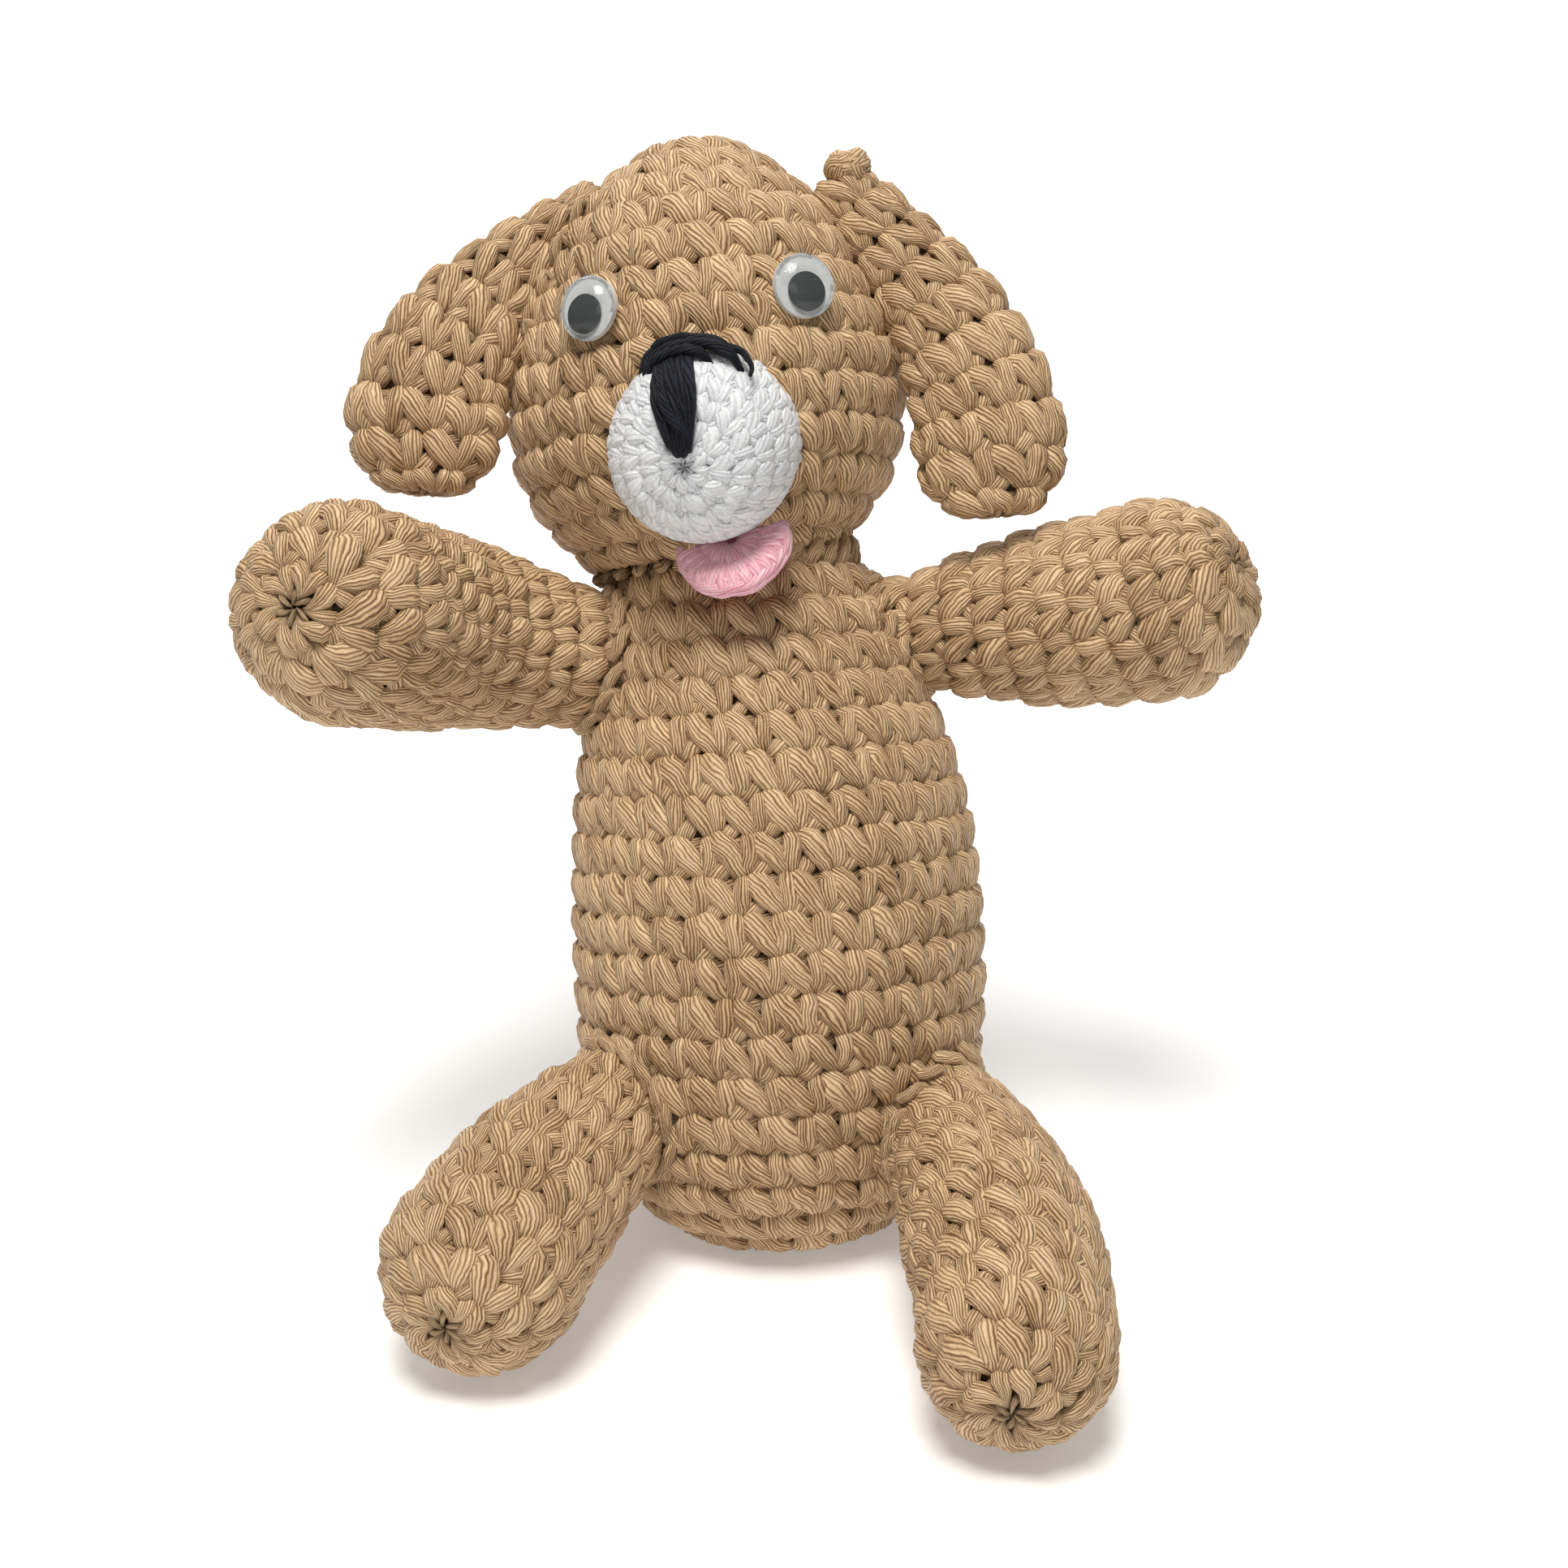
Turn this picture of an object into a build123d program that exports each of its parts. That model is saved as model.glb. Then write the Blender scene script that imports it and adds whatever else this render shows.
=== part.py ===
from build123d import *
import os
from math import cos, sin, radians, sqrt, atan2, degrees

# Crocheted stuffed toy dog, sitting with its legs forward and its arms out.
#
# Frame: millimetres, +Z up. The origin is the centre of the flat patch that the
# toy sits on. The toy faces -Y, and its own left hand is on the +X side.
# Every yarn cover is a thin closed shell with its fibre stuffing inside it, and
# every sewn-on limb ends in a round butt that sits in a dimple of the body.

os.makedirs("parts", exist_ok=True)

# ------------------------------------------------------------------ dimensions
COVER = 2.6            # thickness of the crocheted cover
MUZZLE_COVER = 2.0     # finer white yarn
EAR_COVER = 2.2
FILL_GAP = 0.1         # between a cover and its stuffing
JOINT_GAP = 0.4        # between a limb's butt and its dimple
SEAT_SKIN = 2.6        # cover under the seat patch

# body: a pear that leans back, its axis given by a point and a direction
BODY_O = Vector(2.6, 0, 0)
BODY_DIR = Vector(-0.075, 0.2588, 0.9659).normalized()
NECK_S = 97.2          # the neck pivot, along the body axis
NECK_R = 23.6          # round top of the body, about the neck pivot
NECK_P = BODY_O + BODY_DIR * NECK_S
BODY_PROFILE = [(0, -6.4), (7.0, -5.6), (13.5, -3.4), (19.2, -0.2), (24.5, 4.4),
                (28.4, 10), (32.0, 20), (33.7, 30), (34.2, 40), (34.2, 50),
                (33.7, 60), (32.6, 70), (30.6, 80), (27.6, 90), (24.9, 98),
                (22.8, 103.3)]

# head: a tall ball whose axis passes beside the neck pivot
HEAD_DIR = Vector(-0.0612, 0.2588, 0.9659).normalized()
HEAD_O = Vector(-11.6, 36.23, 135.23) - HEAD_DIR * 140
CUP_R = NECK_R + JOINT_GAP
HEAD_PROFILE = [(0, 103.2), (9, 103.8), (17.5, 106.2), (20.6, 108.8), (23.4, 112),
                (27.7, 117.8), (31.2, 125), (32.1, 131), (32.3, 138), (30.6, 146),
                (28.3, 152), (25.2, 159), (20.9, 166), (15.2, 172), (8.6, 176.6),
                (0, 178.6)]

# arms: butt centre at the shoulder, end-ball centre, radii along the arm
ARM_R_P, ARM_R_E, ARM_R_R = Vector(-31, 19, 92), Vector(-64.5, -12, 106), 17.0
ARM_L_P, ARM_L_E, ARM_L_R = Vector(21.8, 24, 93.5), Vector(61.3, 15, 102.5), 15.8
ARM_BUTT = 7.8
# legs: hip butt, end ball, radii
LEG_R_P, LEG_R_E, LEG_R_R = Vector(-29.5, -10, 26), Vector(-42, -43.5, 15.5), 15.4
LEG_L_P, LEG_L_E, LEG_L_R = Vector(36, -8, 24), Vector(33, -62, 14.1), 14.0
LEG_BUTT = 8.5
SEAM_R = 0.8           # whip-stitch yarn
SEAM_GAP = 0.15        # round that yarn in its groove
# how far each limb swings, in degrees; its sleeve is hollowed to clear the body all the way
ARM_R_SWING, ARM_L_SWING, LEG_UP, LEG_DOWN = 35, 30, 35, -15
SEAM_IN = 0.65         # how deep its centre lies in the butt
SEAM_ON = 0.6          # how far along the limb it lies from the butt's centre

# ears: a centre line of four control points, and the root
EAR_R_LINE = [Vector(-28, 38, 162.5), Vector(-42, 31, 155.5), Vector(-57, 26, 144), Vector(-57, 20, 130)]
EAR_L_LINE = [Vector(9, 38, 165.5), Vector(21, 32, 158), Vector(33.5, 26, 142), Vector(34.3, 20, 126.5)]
EAR_BUTT = 4.2
# (place along the line, half width, half thickness)
EAR_SECTIONS = [(0.24, 4.0, 3.6), (0.36, 6.2, 4.5), (0.52, 8.4, 5.2), (0.70, 10.4, 5.6),
                (0.86, 11.6, 5.8), (1.0, 12.0, 5.8)]
EAR_CAP = [(5.0, 11.0, 5.3), (8.6, 8.0, 4.2), (10.8, 4.0, 2.6)]

# muzzle: a crowned white disc on the face
MUZ_O = Vector(-10.5, 3.5, 128.7)
MUZ_DIR = Vector(-0.095, -0.994, -0.05).normalized()
MUZ_PROFILE = [(13.9, -7), (14.1, 0), (14.2, 2.5), (13.3, 6.6), (10.6, 10.3),
               (6.0, 12.5), (0, 13.2)]

# eyes: 10 mm wobble eyes
EYE_R_O, EYE_R_AZ, EYE_R_EL = Vector(-27.85, 10.56, 148.23), -32.0, 16.0
EYE_L_O, EYE_L_AZ, EYE_L_EL = Vector(4.28, 12.45, 151.39), 24.0, 18.0
EYE_RAD, EYE_BACK, EYE_TOP = 5.0, 0.9, 3.9
PUPIL_RAD, PUPIL_OFF = 3.0, 1.0

# tongue
TON_O = Vector(-6.1, 4.6, 113.1)
TON_X = Vector(0.956, 0, 0.292).normalized()
TON_Y = Vector(0.150, -0.857, -0.492).normalized()
TON_LEN, TON_HALF, TON_THICK = 12.0, 8.8, 2.2


# --------------------------------------------------------------- small helpers
def profile_plane(origin, direction):
    """Plane whose local Y runs along direction, and whose local X is radial."""
    side = Vector(1, 0, 0) if abs(direction.X) < 0.6 else Vector(0, 0, 1)
    radial = (side - direction * side.dot(direction)).normalized()
    return Plane(origin=origin, x_dir=radial, z_dir=radial.cross(direction))


def inset(points, d):
    """A profile moved inwards by d. Its ends stay on the axis or at their height."""
    out = []
    for i, (r, s) in enumerate(points):
        a, b = points[max(i - 1, 0)], points[min(i + 1, len(points) - 1)]
        tr, ts = b[0] - a[0], b[1] - a[1]
        n = sqrt(tr * tr + ts * ts)
        if i == 0 and r == 0:
            out.append((0, s + d))
        elif i == len(points) - 1 and r == 0:
            out.append((0, s - d))
        else:
            out.append((max(r - ts / n * d, 0.0), s + tr / n * d))
    return out


def limb_points(length, butt, end):
    """Radii of a club-shaped limb between the centres of its two round ends."""
    share = [(0.0, 0.0), (0.12, 0.03), (0.27, 0.22), (0.47, 0.55), (0.70, 0.84), (0.88, 0.96), (1.0, 1.0)]
    return [(butt + (end - butt) * k, length * t) for t, k in share]


def bezier(line, t):
    p0, p1, p2, p3 = line
    return p0 * (1 - t) ** 3 + p1 * (3 * t * (1 - t) ** 2) + p2 * (3 * t * t * (1 - t)) + p3 * t ** 3


def bezier_dir(line, t):
    p0, p1, p2, p3 = line
    return ((p1 - p0) * (1 - t) ** 2 + (p2 - p1) * (2 * t * (1 - t)) + (p3 - p2) * (t * t)).normalized()


def ear_frames(line, shrink):
    """Section planes of an ear with their half width and half thickness."""
    frames = []
    for t, w, h in EAR_SECTIONS:
        frames.append((bezier(line, t), bezier_dir(line, t), w, h))
    end, way = bezier(line, 1.0), bezier_dir(line, 1.0)
    for s, w, h in EAR_CAP:
        frames.append((end + way * s, way, w, h))
    planes = []
    for c, way, w, h in frames:
        wide = Vector(0, 1, 0).cross(way).normalized()
        if shrink:
            c = c - way * shrink * 0.35 if w == EAR_CAP[-1][1] else c
            w, h = w - shrink, h - shrink
        if w > 0.4 and h > 0.3:
            planes.append((Plane(origin=c, x_dir=wide, z_dir=way), w, h))
    return planes


def facing(az, el):
    return Vector(sin(radians(az)) * cos(radians(el)), -cos(radians(az)) * cos(radians(el)), sin(radians(el)))


def face_plane(origin, normal):
    """Plane whose local Z is normal and whose local Y points as nearly up as it can."""
    side = Vector(0, 0, 1).cross(normal).normalized()
    return Plane(origin=origin, x_dir=side, z_dir=normal)


BODY_AX, HEAD_AX, MUZ_AX = Axis(BODY_O, BODY_DIR), Axis(HEAD_O, HEAD_DIR), Axis(MUZ_O, MUZ_DIR)
BODY_PL, HEAD_PL = profile_plane(BODY_O, BODY_DIR), profile_plane(HEAD_O, HEAD_DIR)
MUZ_PL = profile_plane(MUZ_O, MUZ_DIR)
SOCKETS = [(ARM_R_P, ARM_BUTT), (ARM_L_P, ARM_BUTT), (LEG_R_P, LEG_BUTT), (LEG_L_P, LEG_BUTT)]
EAR_R_P, EAR_L_P = bezier(EAR_R_LINE, 0.24), bezier(EAR_L_LINE, 0.24)


def dome_arc(radius):
    """Three points of the body's round top, from its shoulder to the axis."""
    a = atan2(BODY_PROFILE[-1][0], BODY_PROFILE[-1][1] - NECK_S)
    return [(radius * sin(a * k), NECK_S + radius * cos(a * k)) for k in (1.0, 0.5, 0.0)]


# ------------------------------------------------------------ body and its fill
with BuildPart() as body_outer:
    with BuildSketch(BODY_PL):
        with BuildLine():
            side = Spline(*BODY_PROFILE[:-1], dome_arc(NECK_R)[0])
            top = ThreePointArc(*dome_arc(NECK_R))
            Line(top @ 1, side @ 0)
        make_face()
    revolve(axis=BODY_AX)
    split(bisect_by=Plane.XY, keep=Keep.TOP)


def body_inside(depth):
    """The room inside the body cover, depth below its outer surface."""
    with BuildPart() as room:
        with BuildSketch(BODY_PL):
            with BuildLine():
                inner = inset(BODY_PROFILE, depth)[:-1] + [dome_arc(NECK_R - depth)[0]]
                side = Spline(*inner)
                top = ThreePointArc(*dome_arc(NECK_R - depth))
                Line(top @ 1, side @ 0)
            make_face()
        revolve(axis=BODY_AX)
        split(bisect_by=Plane.XY.offset(SEAT_SKIN + depth - COVER), keep=Keep.TOP)
        for centre, butt in SOCKETS:
            with Locations(centre):
                Sphere(butt + JOINT_GAP + depth, mode=Mode.SUBTRACT)
    return room.part


with BuildPart() as body_cover:
    add(body_outer.part)
    for centre, butt in SOCKETS:
        with Locations(centre):
            Sphere(butt + JOINT_GAP, mode=Mode.SUBTRACT)
    add(body_inside(COVER), mode=Mode.SUBTRACT)
body_cover.part.label = "body_cover"
export_step(body_cover.part, "parts/body_cover.step")

with BuildPart() as body_stuffing:
    add(body_inside(COVER + FILL_GAP))
body_stuffing.part.label = "body_stuffing"
export_step(body_stuffing.part, "parts/body_stuffing.step")

# the ring of yarn that closes the neck, on its own turning body
with BuildPart() as neck_seam_yarn:
    with BuildSketch(BODY_PL):
        with Locations((23.6, 104.8)):
            Circle(0.8)
    revolve(axis=BODY_AX)
neck_seam_yarn.part.label = "neck_seam_yarn"
export_step(neck_seam_yarn.part, "parts/neck_seam_yarn.step")

# clearance shape of the body, for what is sewn onto it
with BuildPart() as body_clear:
    with BuildSketch(BODY_PL):
        with BuildLine():
            outer = inset(BODY_PROFILE, -JOINT_GAP)[:-1] + [dome_arc(NECK_R + JOINT_GAP)[0]]
            side = Spline(*outer)
            top = ThreePointArc(*dome_arc(NECK_R + JOINT_GAP))
            Line(top @ 1, side @ 0)
        make_face()
    revolve(axis=BODY_AX)

# ------------------------------------------------------------ head and its fill
def head_shape(depth):
    """The head's outer shape, moved inwards by depth."""
    with BuildPart() as shape:
        with BuildSketch(HEAD_PL):
            with BuildLine():
                side = Spline(*inset(HEAD_PROFILE, depth))
                Line(side @ 1, side @ 0)
            make_face()
        revolve(axis=HEAD_AX)
    return shape.part


HEAD_OUTER = head_shape(0)
HEAD_CLEAR = head_shape(-JOINT_GAP)


def head_inside(depth):
    with BuildPart() as room:
        add(head_shape(depth))
        with Locations(NECK_P):
            Sphere(CUP_R + depth, mode=Mode.SUBTRACT)
        for centre in (EAR_R_P, EAR_L_P):
            with Locations(centre):
                Sphere(EAR_BUTT + JOINT_GAP + depth, mode=Mode.SUBTRACT)
    return room.part


with BuildPart() as head_cover:
    add(HEAD_OUTER)
    with Locations(NECK_P):
        Sphere(CUP_R, mode=Mode.SUBTRACT)
    for centre in (EAR_R_P, EAR_L_P):
        with Locations(centre):
            Sphere(EAR_BUTT + JOINT_GAP, mode=Mode.SUBTRACT)
    add(head_inside(COVER), mode=Mode.SUBTRACT)
head_cover.part.label = "head_cover"
export_step(head_cover.part, "parts/head_cover.step")

with BuildPart() as head_stuffing:
    add(head_inside(COVER + FILL_GAP))
head_stuffing.part.label = "head_stuffing"
export_step(head_stuffing.part, "parts/head_stuffing.step")


# --------------------------------------------------------------- arms and legs
def limb_shape(butt_centre, end_centre, butt, end, depth):
    """A limb: round butt, club-shaped sleeve and round end, moved inwards by depth."""
    way = (end_centre - butt_centre)
    length = way.length
    way = way.normalized()
    points = [(r - depth, s) for r, s in limb_points(length, butt, end)]
    b, e, k = butt - depth, end - depth, sqrt(0.5)
    with BuildPart() as shape:
        with BuildSketch(profile_plane(butt_centre, way)):
            with BuildLine():
                ThreePointArc((0, -b), (b * k, -b * k), (b, 0))
                Spline(*points, tangents=[(0, 1), (0, 1)])
                ThreePointArc((e, length), (e * k, length + e * k), (0, length + e))
                Line((0, length + e), (0, -b))
            make_face()
        revolve(axis=Axis(butt_centre, way))
    return shape.part


def limb_plane(butt_centre, end_centre):
    way = (end_centre - butt_centre).normalized()
    return Plane(origin=butt_centre, x_dir=Vector(0, 0, 1).cross(way).normalized(), z_dir=way)


def seam_groove(butt_centre, end_centre, butt):
    """Square-bottomed groove for the seam yarn, open to the outside."""
    way = (end_centre - butt_centre).normalized()
    half = SEAM_R + SEAM_GAP
    with BuildPart() as groove:
        with BuildSketch(profile_plane(butt_centre, way)):
            with Locations((butt - SEAM_IN + 1.0, SEAM_ON)):
                Rectangle(2 * half + 2.0, 2 * half)
        revolve(axis=Axis(butt_centre, way))
    return groove.part


# name: butt centre, end centre, radii, swing axis, angles that the sleeve has to clear the body at
LIMBS = {
    "arm_right": (ARM_R_P, ARM_R_E, ARM_BUTT, ARM_R_R, (0, -1, 0), [ARM_R_SWING * k / 3 for k in (1, 2, 3)]),
    "arm_left": (ARM_L_P, ARM_L_E, ARM_BUTT, ARM_L_R, (0, 1, 0), [ARM_L_SWING * k / 3 for k in (1, 2, 3)]),
    "leg_right": (LEG_R_P, LEG_R_E, LEG_BUTT, LEG_R_R, (-1, 0, 0), [LEG_DOWN, LEG_DOWN / 2, LEG_UP / 2, LEG_UP]),
    "leg_left": (LEG_L_P, LEG_L_E, LEG_BUTT, LEG_L_R, (-1, 0, 0), [LEG_DOWN, LEG_DOWN / 2, LEG_UP / 2, LEG_UP]),
}
for name, (p, e, butt, end, swing, angles) in LIMBS.items():
    # the sleeve clears the body, and the butt sits in its dimple
    with BuildPart() as room_taken:
        add(body_clear.part)
        with Locations(p):
            Sphere(butt + 0.2, mode=Mode.SUBTRACT)
    with BuildPart() as limb_cover:
        add(limb_shape(p, e, butt, end, 0))
        for angle in [0] + angles:
            add(room_taken.part.rotate(Axis(p, swing), -angle), mode=Mode.SUBTRACT)
        add(limb_shape(p, e, butt, end, COVER), mode=Mode.SUBTRACT)
        add(seam_groove(p, e, butt), mode=Mode.SUBTRACT)
    limb_cover.part.label = name + "_cover"
    export_step(limb_cover.part, "parts/" + name + "_cover.step")

    with BuildPart() as limb_stuffing:
        add(limb_shape(p, e, butt, end, COVER + FILL_GAP))
    limb_stuffing.part.label = name + "_stuffing"
    export_step(limb_stuffing.part, "parts/" + name + "_stuffing.step")

    with BuildPart(limb_plane(p, e).offset(SEAM_ON)) as limb_seam_yarn:
        Torus(butt - SEAM_IN, SEAM_R)
    limb_seam_yarn.part.label = name + "_seam_yarn"
    export_step(limb_seam_yarn.part, "parts/" + name + "_seam_yarn.step")

# ------------------------------------------------------------------------ ears
for name, line, root in (("ear_right", EAR_R_LINE, EAR_R_P), ("ear_left", EAR_L_LINE, EAR_L_P)):
    with BuildPart() as ear_room:
        for plane, w, h in ear_frames(line, EAR_COVER)[1:]:
            with BuildSketch(plane):
                Ellipse(w, h)
        loft()

    with BuildPart() as ear_cover:
        for plane, w, h in ear_frames(line, 0):
            with BuildSketch(plane):
                Ellipse(w, h)
        loft()
        add(HEAD_CLEAR, mode=Mode.SUBTRACT)
        with Locations(root):
            Sphere(EAR_BUTT)
        add(ear_room.part, mode=Mode.SUBTRACT)
        with Locations(Plane(origin=root, x_dir=Vector(0, 1, 0), z_dir=bezier_dir(line, 0.24))):
            Torus(EAR_BUTT - 0.5, 0.65, mode=Mode.SUBTRACT)
    ear_cover.part.label = name + "_cover"
    export_step(ear_cover.part, "parts/" + name + "_cover.step")

    with BuildPart() as ear_stuffing:
        add(ear_room.part)
    ear_stuffing.part.label = name + "_stuffing"
    export_step(ear_stuffing.part, "parts/" + name + "_stuffing.step")

    with BuildPart(Plane(origin=root, x_dir=Vector(0, 1, 0), z_dir=bezier_dir(line, 0.24))) as ear_seam_yarn:
        Torus(EAR_BUTT - 0.5, 0.6)
    ear_seam_yarn.part.label = name + "_seam_yarn"
    export_step(ear_seam_yarn.part, "parts/" + name + "_seam_yarn.step")


# ---------------------------------------------------------------------- muzzle
def muzzle_shape(depth):
    """The muzzle's outer shape, moved inwards by depth, down into the head."""
    points = inset(MUZ_PROFILE, depth)
    points[0] = (MUZ_PROFILE[0][0] - depth, MUZ_PROFILE[0][1])
    with BuildPart() as shape:
        with BuildSketch(MUZ_PL):
            with BuildLine():
                side = Spline(*points)
                Polyline(side @ 1, (0, points[0][1]), side @ 0)
            make_face()
        revolve(axis=MUZ_AX)
    return shape.part


with BuildPart() as muzzle_cover:
    add(muzzle_shape(0))
    add(muzzle_shape(MUZZLE_COVER), mode=Mode.SUBTRACT)
    add(HEAD_OUTER, mode=Mode.SUBTRACT)
muzzle_cover.part.label = "muzzle_cover"
export_step(muzzle_cover.part, "parts/muzzle_cover.step")

with BuildPart() as muzzle_stuffing:
    add(muzzle_shape(MUZZLE_COVER + FILL_GAP))
    add(HEAD_OUTER, mode=Mode.SUBTRACT)
muzzle_stuffing.part.label = "muzzle_stuffing"
export_step(muzzle_stuffing.part, "parts/muzzle_stuffing.step")

# bead of white yarn in the corner where the muzzle's rim meets the face
with BuildPart() as muzzle_seam_ring:
    add(muzzle_shape(-1.3))
    add(muzzle_shape(-0.05), mode=Mode.SUBTRACT)
    add(head_shape(-1.3), mode=Mode.INTERSECT)
    add(head_shape(-0.05), mode=Mode.SUBTRACT)

# ---------------------------------------------------------------- nose stitches
MUZ_FRONT = face_plane(MUZ_O, MUZ_DIR)
NOSE_LINE = [(-7.0, 13.0), (-6.0, 6.5), (-4.4, 1.0), (-2.4, -0.8), (-0.8, 0.2),
             (-0.1, 4.3), (-0.5, 7.6), (-1.1, 13.2)]
with BuildPart() as nose_line_stitch:
    add(muzzle_shape(-1.3))
    add(muzzle_shape(-0.05), mode=Mode.SUBTRACT)
    with BuildSketch(MUZ_FRONT):
        with BuildLine():
            Polyline(*NOSE_LINE, close=True)
        make_face()
    extrude(amount=20, mode=Mode.INTERSECT)
nose_line_stitch.part.label = "nose_line_stitch"
export_step(nose_line_stitch.part, "parts/nose_line_stitch.step")

with BuildPart() as nose_top_stitch:
    with BuildSketch(profile_plane(MUZ_O, MUZ_DIR)):
        with Locations((15.4, 1.6)):
            Ellipse(2.2, 2.6)
    revolve(axis=MUZ_AX)
    with BuildSketch(MUZ_FRONT.offset(-6)):
        with BuildLine():
            Polyline((0, 5), (-14.5, 20.5), (14.0, 21.5), close=True)
        make_face()
    extrude(amount=20, mode=Mode.INTERSECT)
    add(muzzle_shape(-0.05), mode=Mode.SUBTRACT)
    add(head_shape(-0.05), mode=Mode.SUBTRACT)
    add(nose_line_stitch.part, mode=Mode.SUBTRACT)
nose_top_stitch.part.label = "nose_top_stitch"
export_step(nose_top_stitch.part, "parts/nose_top_stitch.step")

# ---------------------------------------------------------------------- tongue
with BuildPart() as tongue:
    with BuildSketch(Plane(origin=TON_O, x_dir=TON_X, z_dir=TON_X.cross(TON_Y))):
        with BuildLine():
            edge = Spline((-7.4, 0), (-TON_HALF, 3.6), (-6.9, 8.0), (-2.6, TON_LEN - 0.6),
                          (2.6, TON_LEN - 0.4), (7.0, 8.4), (TON_HALF, 4.0), (7.4, 0))
            Line(edge @ 1, edge @ 0)
        make_face()
    extrude(amount=TON_THICK / 2, both=True)
    fillet(tongue.edges().filter_by(GeomType.BSPLINE), radius=0.9)
tongue.part.label = "tongue"
export_step(tongue.part, "parts/tongue.step")

# the muzzle seam leaves room for the nose above and for the tongue below
with BuildPart() as tongue_room:
    with BuildSketch(Plane(origin=TON_O - TON_Y * 2.4, x_dir=TON_X, z_dir=TON_X.cross(TON_Y))):
        with Locations((0, 9)):
            Rectangle(21, 18)
    extrude(amount=5.0, both=True)
with BuildPart() as muzzle_seam_yarn:
    add(muzzle_seam_ring.part)
    add(tongue_room.part, mode=Mode.SUBTRACT)
    with BuildSketch(MUZ_FRONT.offset(-8)):
        with BuildLine():
            Polyline((0, 4), (-16.0, 22.0), (16.0, 22.0), close=True)
        make_face()
    extrude(amount=22, mode=Mode.SUBTRACT)
muzzle_seam_yarn.part.label = "muzzle_seam_yarn"
export_step(muzzle_seam_yarn.part, "parts/muzzle_seam_yarn.step")

# ------------------------------------------------------------------------ eyes
for name, origin, az, el in (("eye_right", EYE_R_O, EYE_R_AZ, EYE_R_EL), ("eye_left", EYE_L_O, EYE_L_AZ, EYE_L_EL)):
    plane = face_plane(origin, facing(az, el))
    with BuildPart() as eye_back:
        with BuildSketch(plane):
            Circle(EYE_RAD - 0.1)
        extrude(amount=EYE_BACK)
    eye_back.part.label = name + "_back"
    export_step(eye_back.part, "parts/" + name + "_back.step")

    turn = Plane(origin=origin, x_dir=plane.x_dir, z_dir=-plane.y_dir)   # local Y along the eye's axis
    with BuildPart() as eye_dome:
        with BuildSketch(turn):
            with BuildLine():
                Polyline((4.3, EYE_BACK), (EYE_RAD, EYE_BACK), (EYE_RAD, 1.5))
                Spline((EYE_RAD, 1.5), (4.55, 2.35), (3.4, 3.2), (1.8, 3.75), (0, EYE_TOP), tangents=[(0, 1), (-1, 0)])
                Line((0, EYE_TOP), (0, EYE_TOP - 0.55))
                Spline((0, EYE_TOP - 0.55), (1.7, 3.2), (3.1, 2.75), (4.0, 2.2), (4.3, 1.8), tangents=[(1, 0), (0, -1)])
                Line((4.3, 1.8), (4.3, EYE_BACK))
            make_face()
        revolve(axis=Axis(origin, plane.z_dir))
    eye_dome.part.label = name + "_dome"
    export_step(eye_dome.part, "parts/" + name + "_dome.step")

    with BuildPart() as eye_pupil:
        with BuildSketch(plane.offset(EYE_BACK + 0.3)):
            with Locations((0, -PUPIL_OFF)):
                Circle(PUPIL_RAD)
        extrude(amount=0.4)
    eye_pupil.part.label = name + "_pupil"
    export_step(eye_pupil.part, "parts/" + name + "_pupil.step")

    with BuildPart() as eye_glue:
        with BuildSketch(plane):
            Circle(3.6)
        extrude(amount=-5)
        add(HEAD_OUTER, mode=Mode.SUBTRACT)
    eye_glue.part.label = name + "_glue"
    export_step(eye_glue.part, "parts/" + name + "_glue.step")

print("neck pivot", NECK_P, "body axis", BODY_DIR)
print("ear roots", EAR_R_P, EAR_L_P)
for name, az, el in (("eye_right", EYE_R_AZ, EYE_R_EL), ("eye_left", EYE_L_AZ, EYE_L_EL)):
    print(name, "facing", facing(az, el))
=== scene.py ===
import math

import bpy
import numpy as np
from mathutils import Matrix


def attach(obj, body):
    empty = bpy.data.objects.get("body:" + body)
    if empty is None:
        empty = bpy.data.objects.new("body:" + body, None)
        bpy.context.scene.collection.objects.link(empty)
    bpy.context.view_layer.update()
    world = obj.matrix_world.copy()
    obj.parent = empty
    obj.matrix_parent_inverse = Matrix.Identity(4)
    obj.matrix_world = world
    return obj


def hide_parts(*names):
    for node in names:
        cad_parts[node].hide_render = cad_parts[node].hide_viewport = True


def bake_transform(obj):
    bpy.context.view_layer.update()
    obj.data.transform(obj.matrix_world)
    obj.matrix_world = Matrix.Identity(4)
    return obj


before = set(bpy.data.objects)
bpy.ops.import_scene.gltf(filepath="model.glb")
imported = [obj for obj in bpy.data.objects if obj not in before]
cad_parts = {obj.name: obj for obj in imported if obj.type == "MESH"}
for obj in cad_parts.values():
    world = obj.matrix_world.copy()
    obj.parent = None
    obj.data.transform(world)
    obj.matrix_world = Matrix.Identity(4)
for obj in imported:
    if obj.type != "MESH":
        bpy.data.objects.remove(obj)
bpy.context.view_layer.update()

MM = 0.001
FACE_DETAIL = 1.0

# ======================================================================== maths


def unit(v):
    v = np.asarray(v, float)
    return v / np.maximum(np.linalg.norm(v, axis=-1, keepdims=True), 1e-12)


def smoothstep(x):
    x = np.clip(x, 0.0, 1.0)
    return x * x * (3 - 2 * x)


def lerp_list(x, pairs):
    """Piecewise-linear value at x from (place, value) pairs."""
    return np.interp(x, [p[0] for p in pairs], [p[1] for p in pairs])


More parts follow.
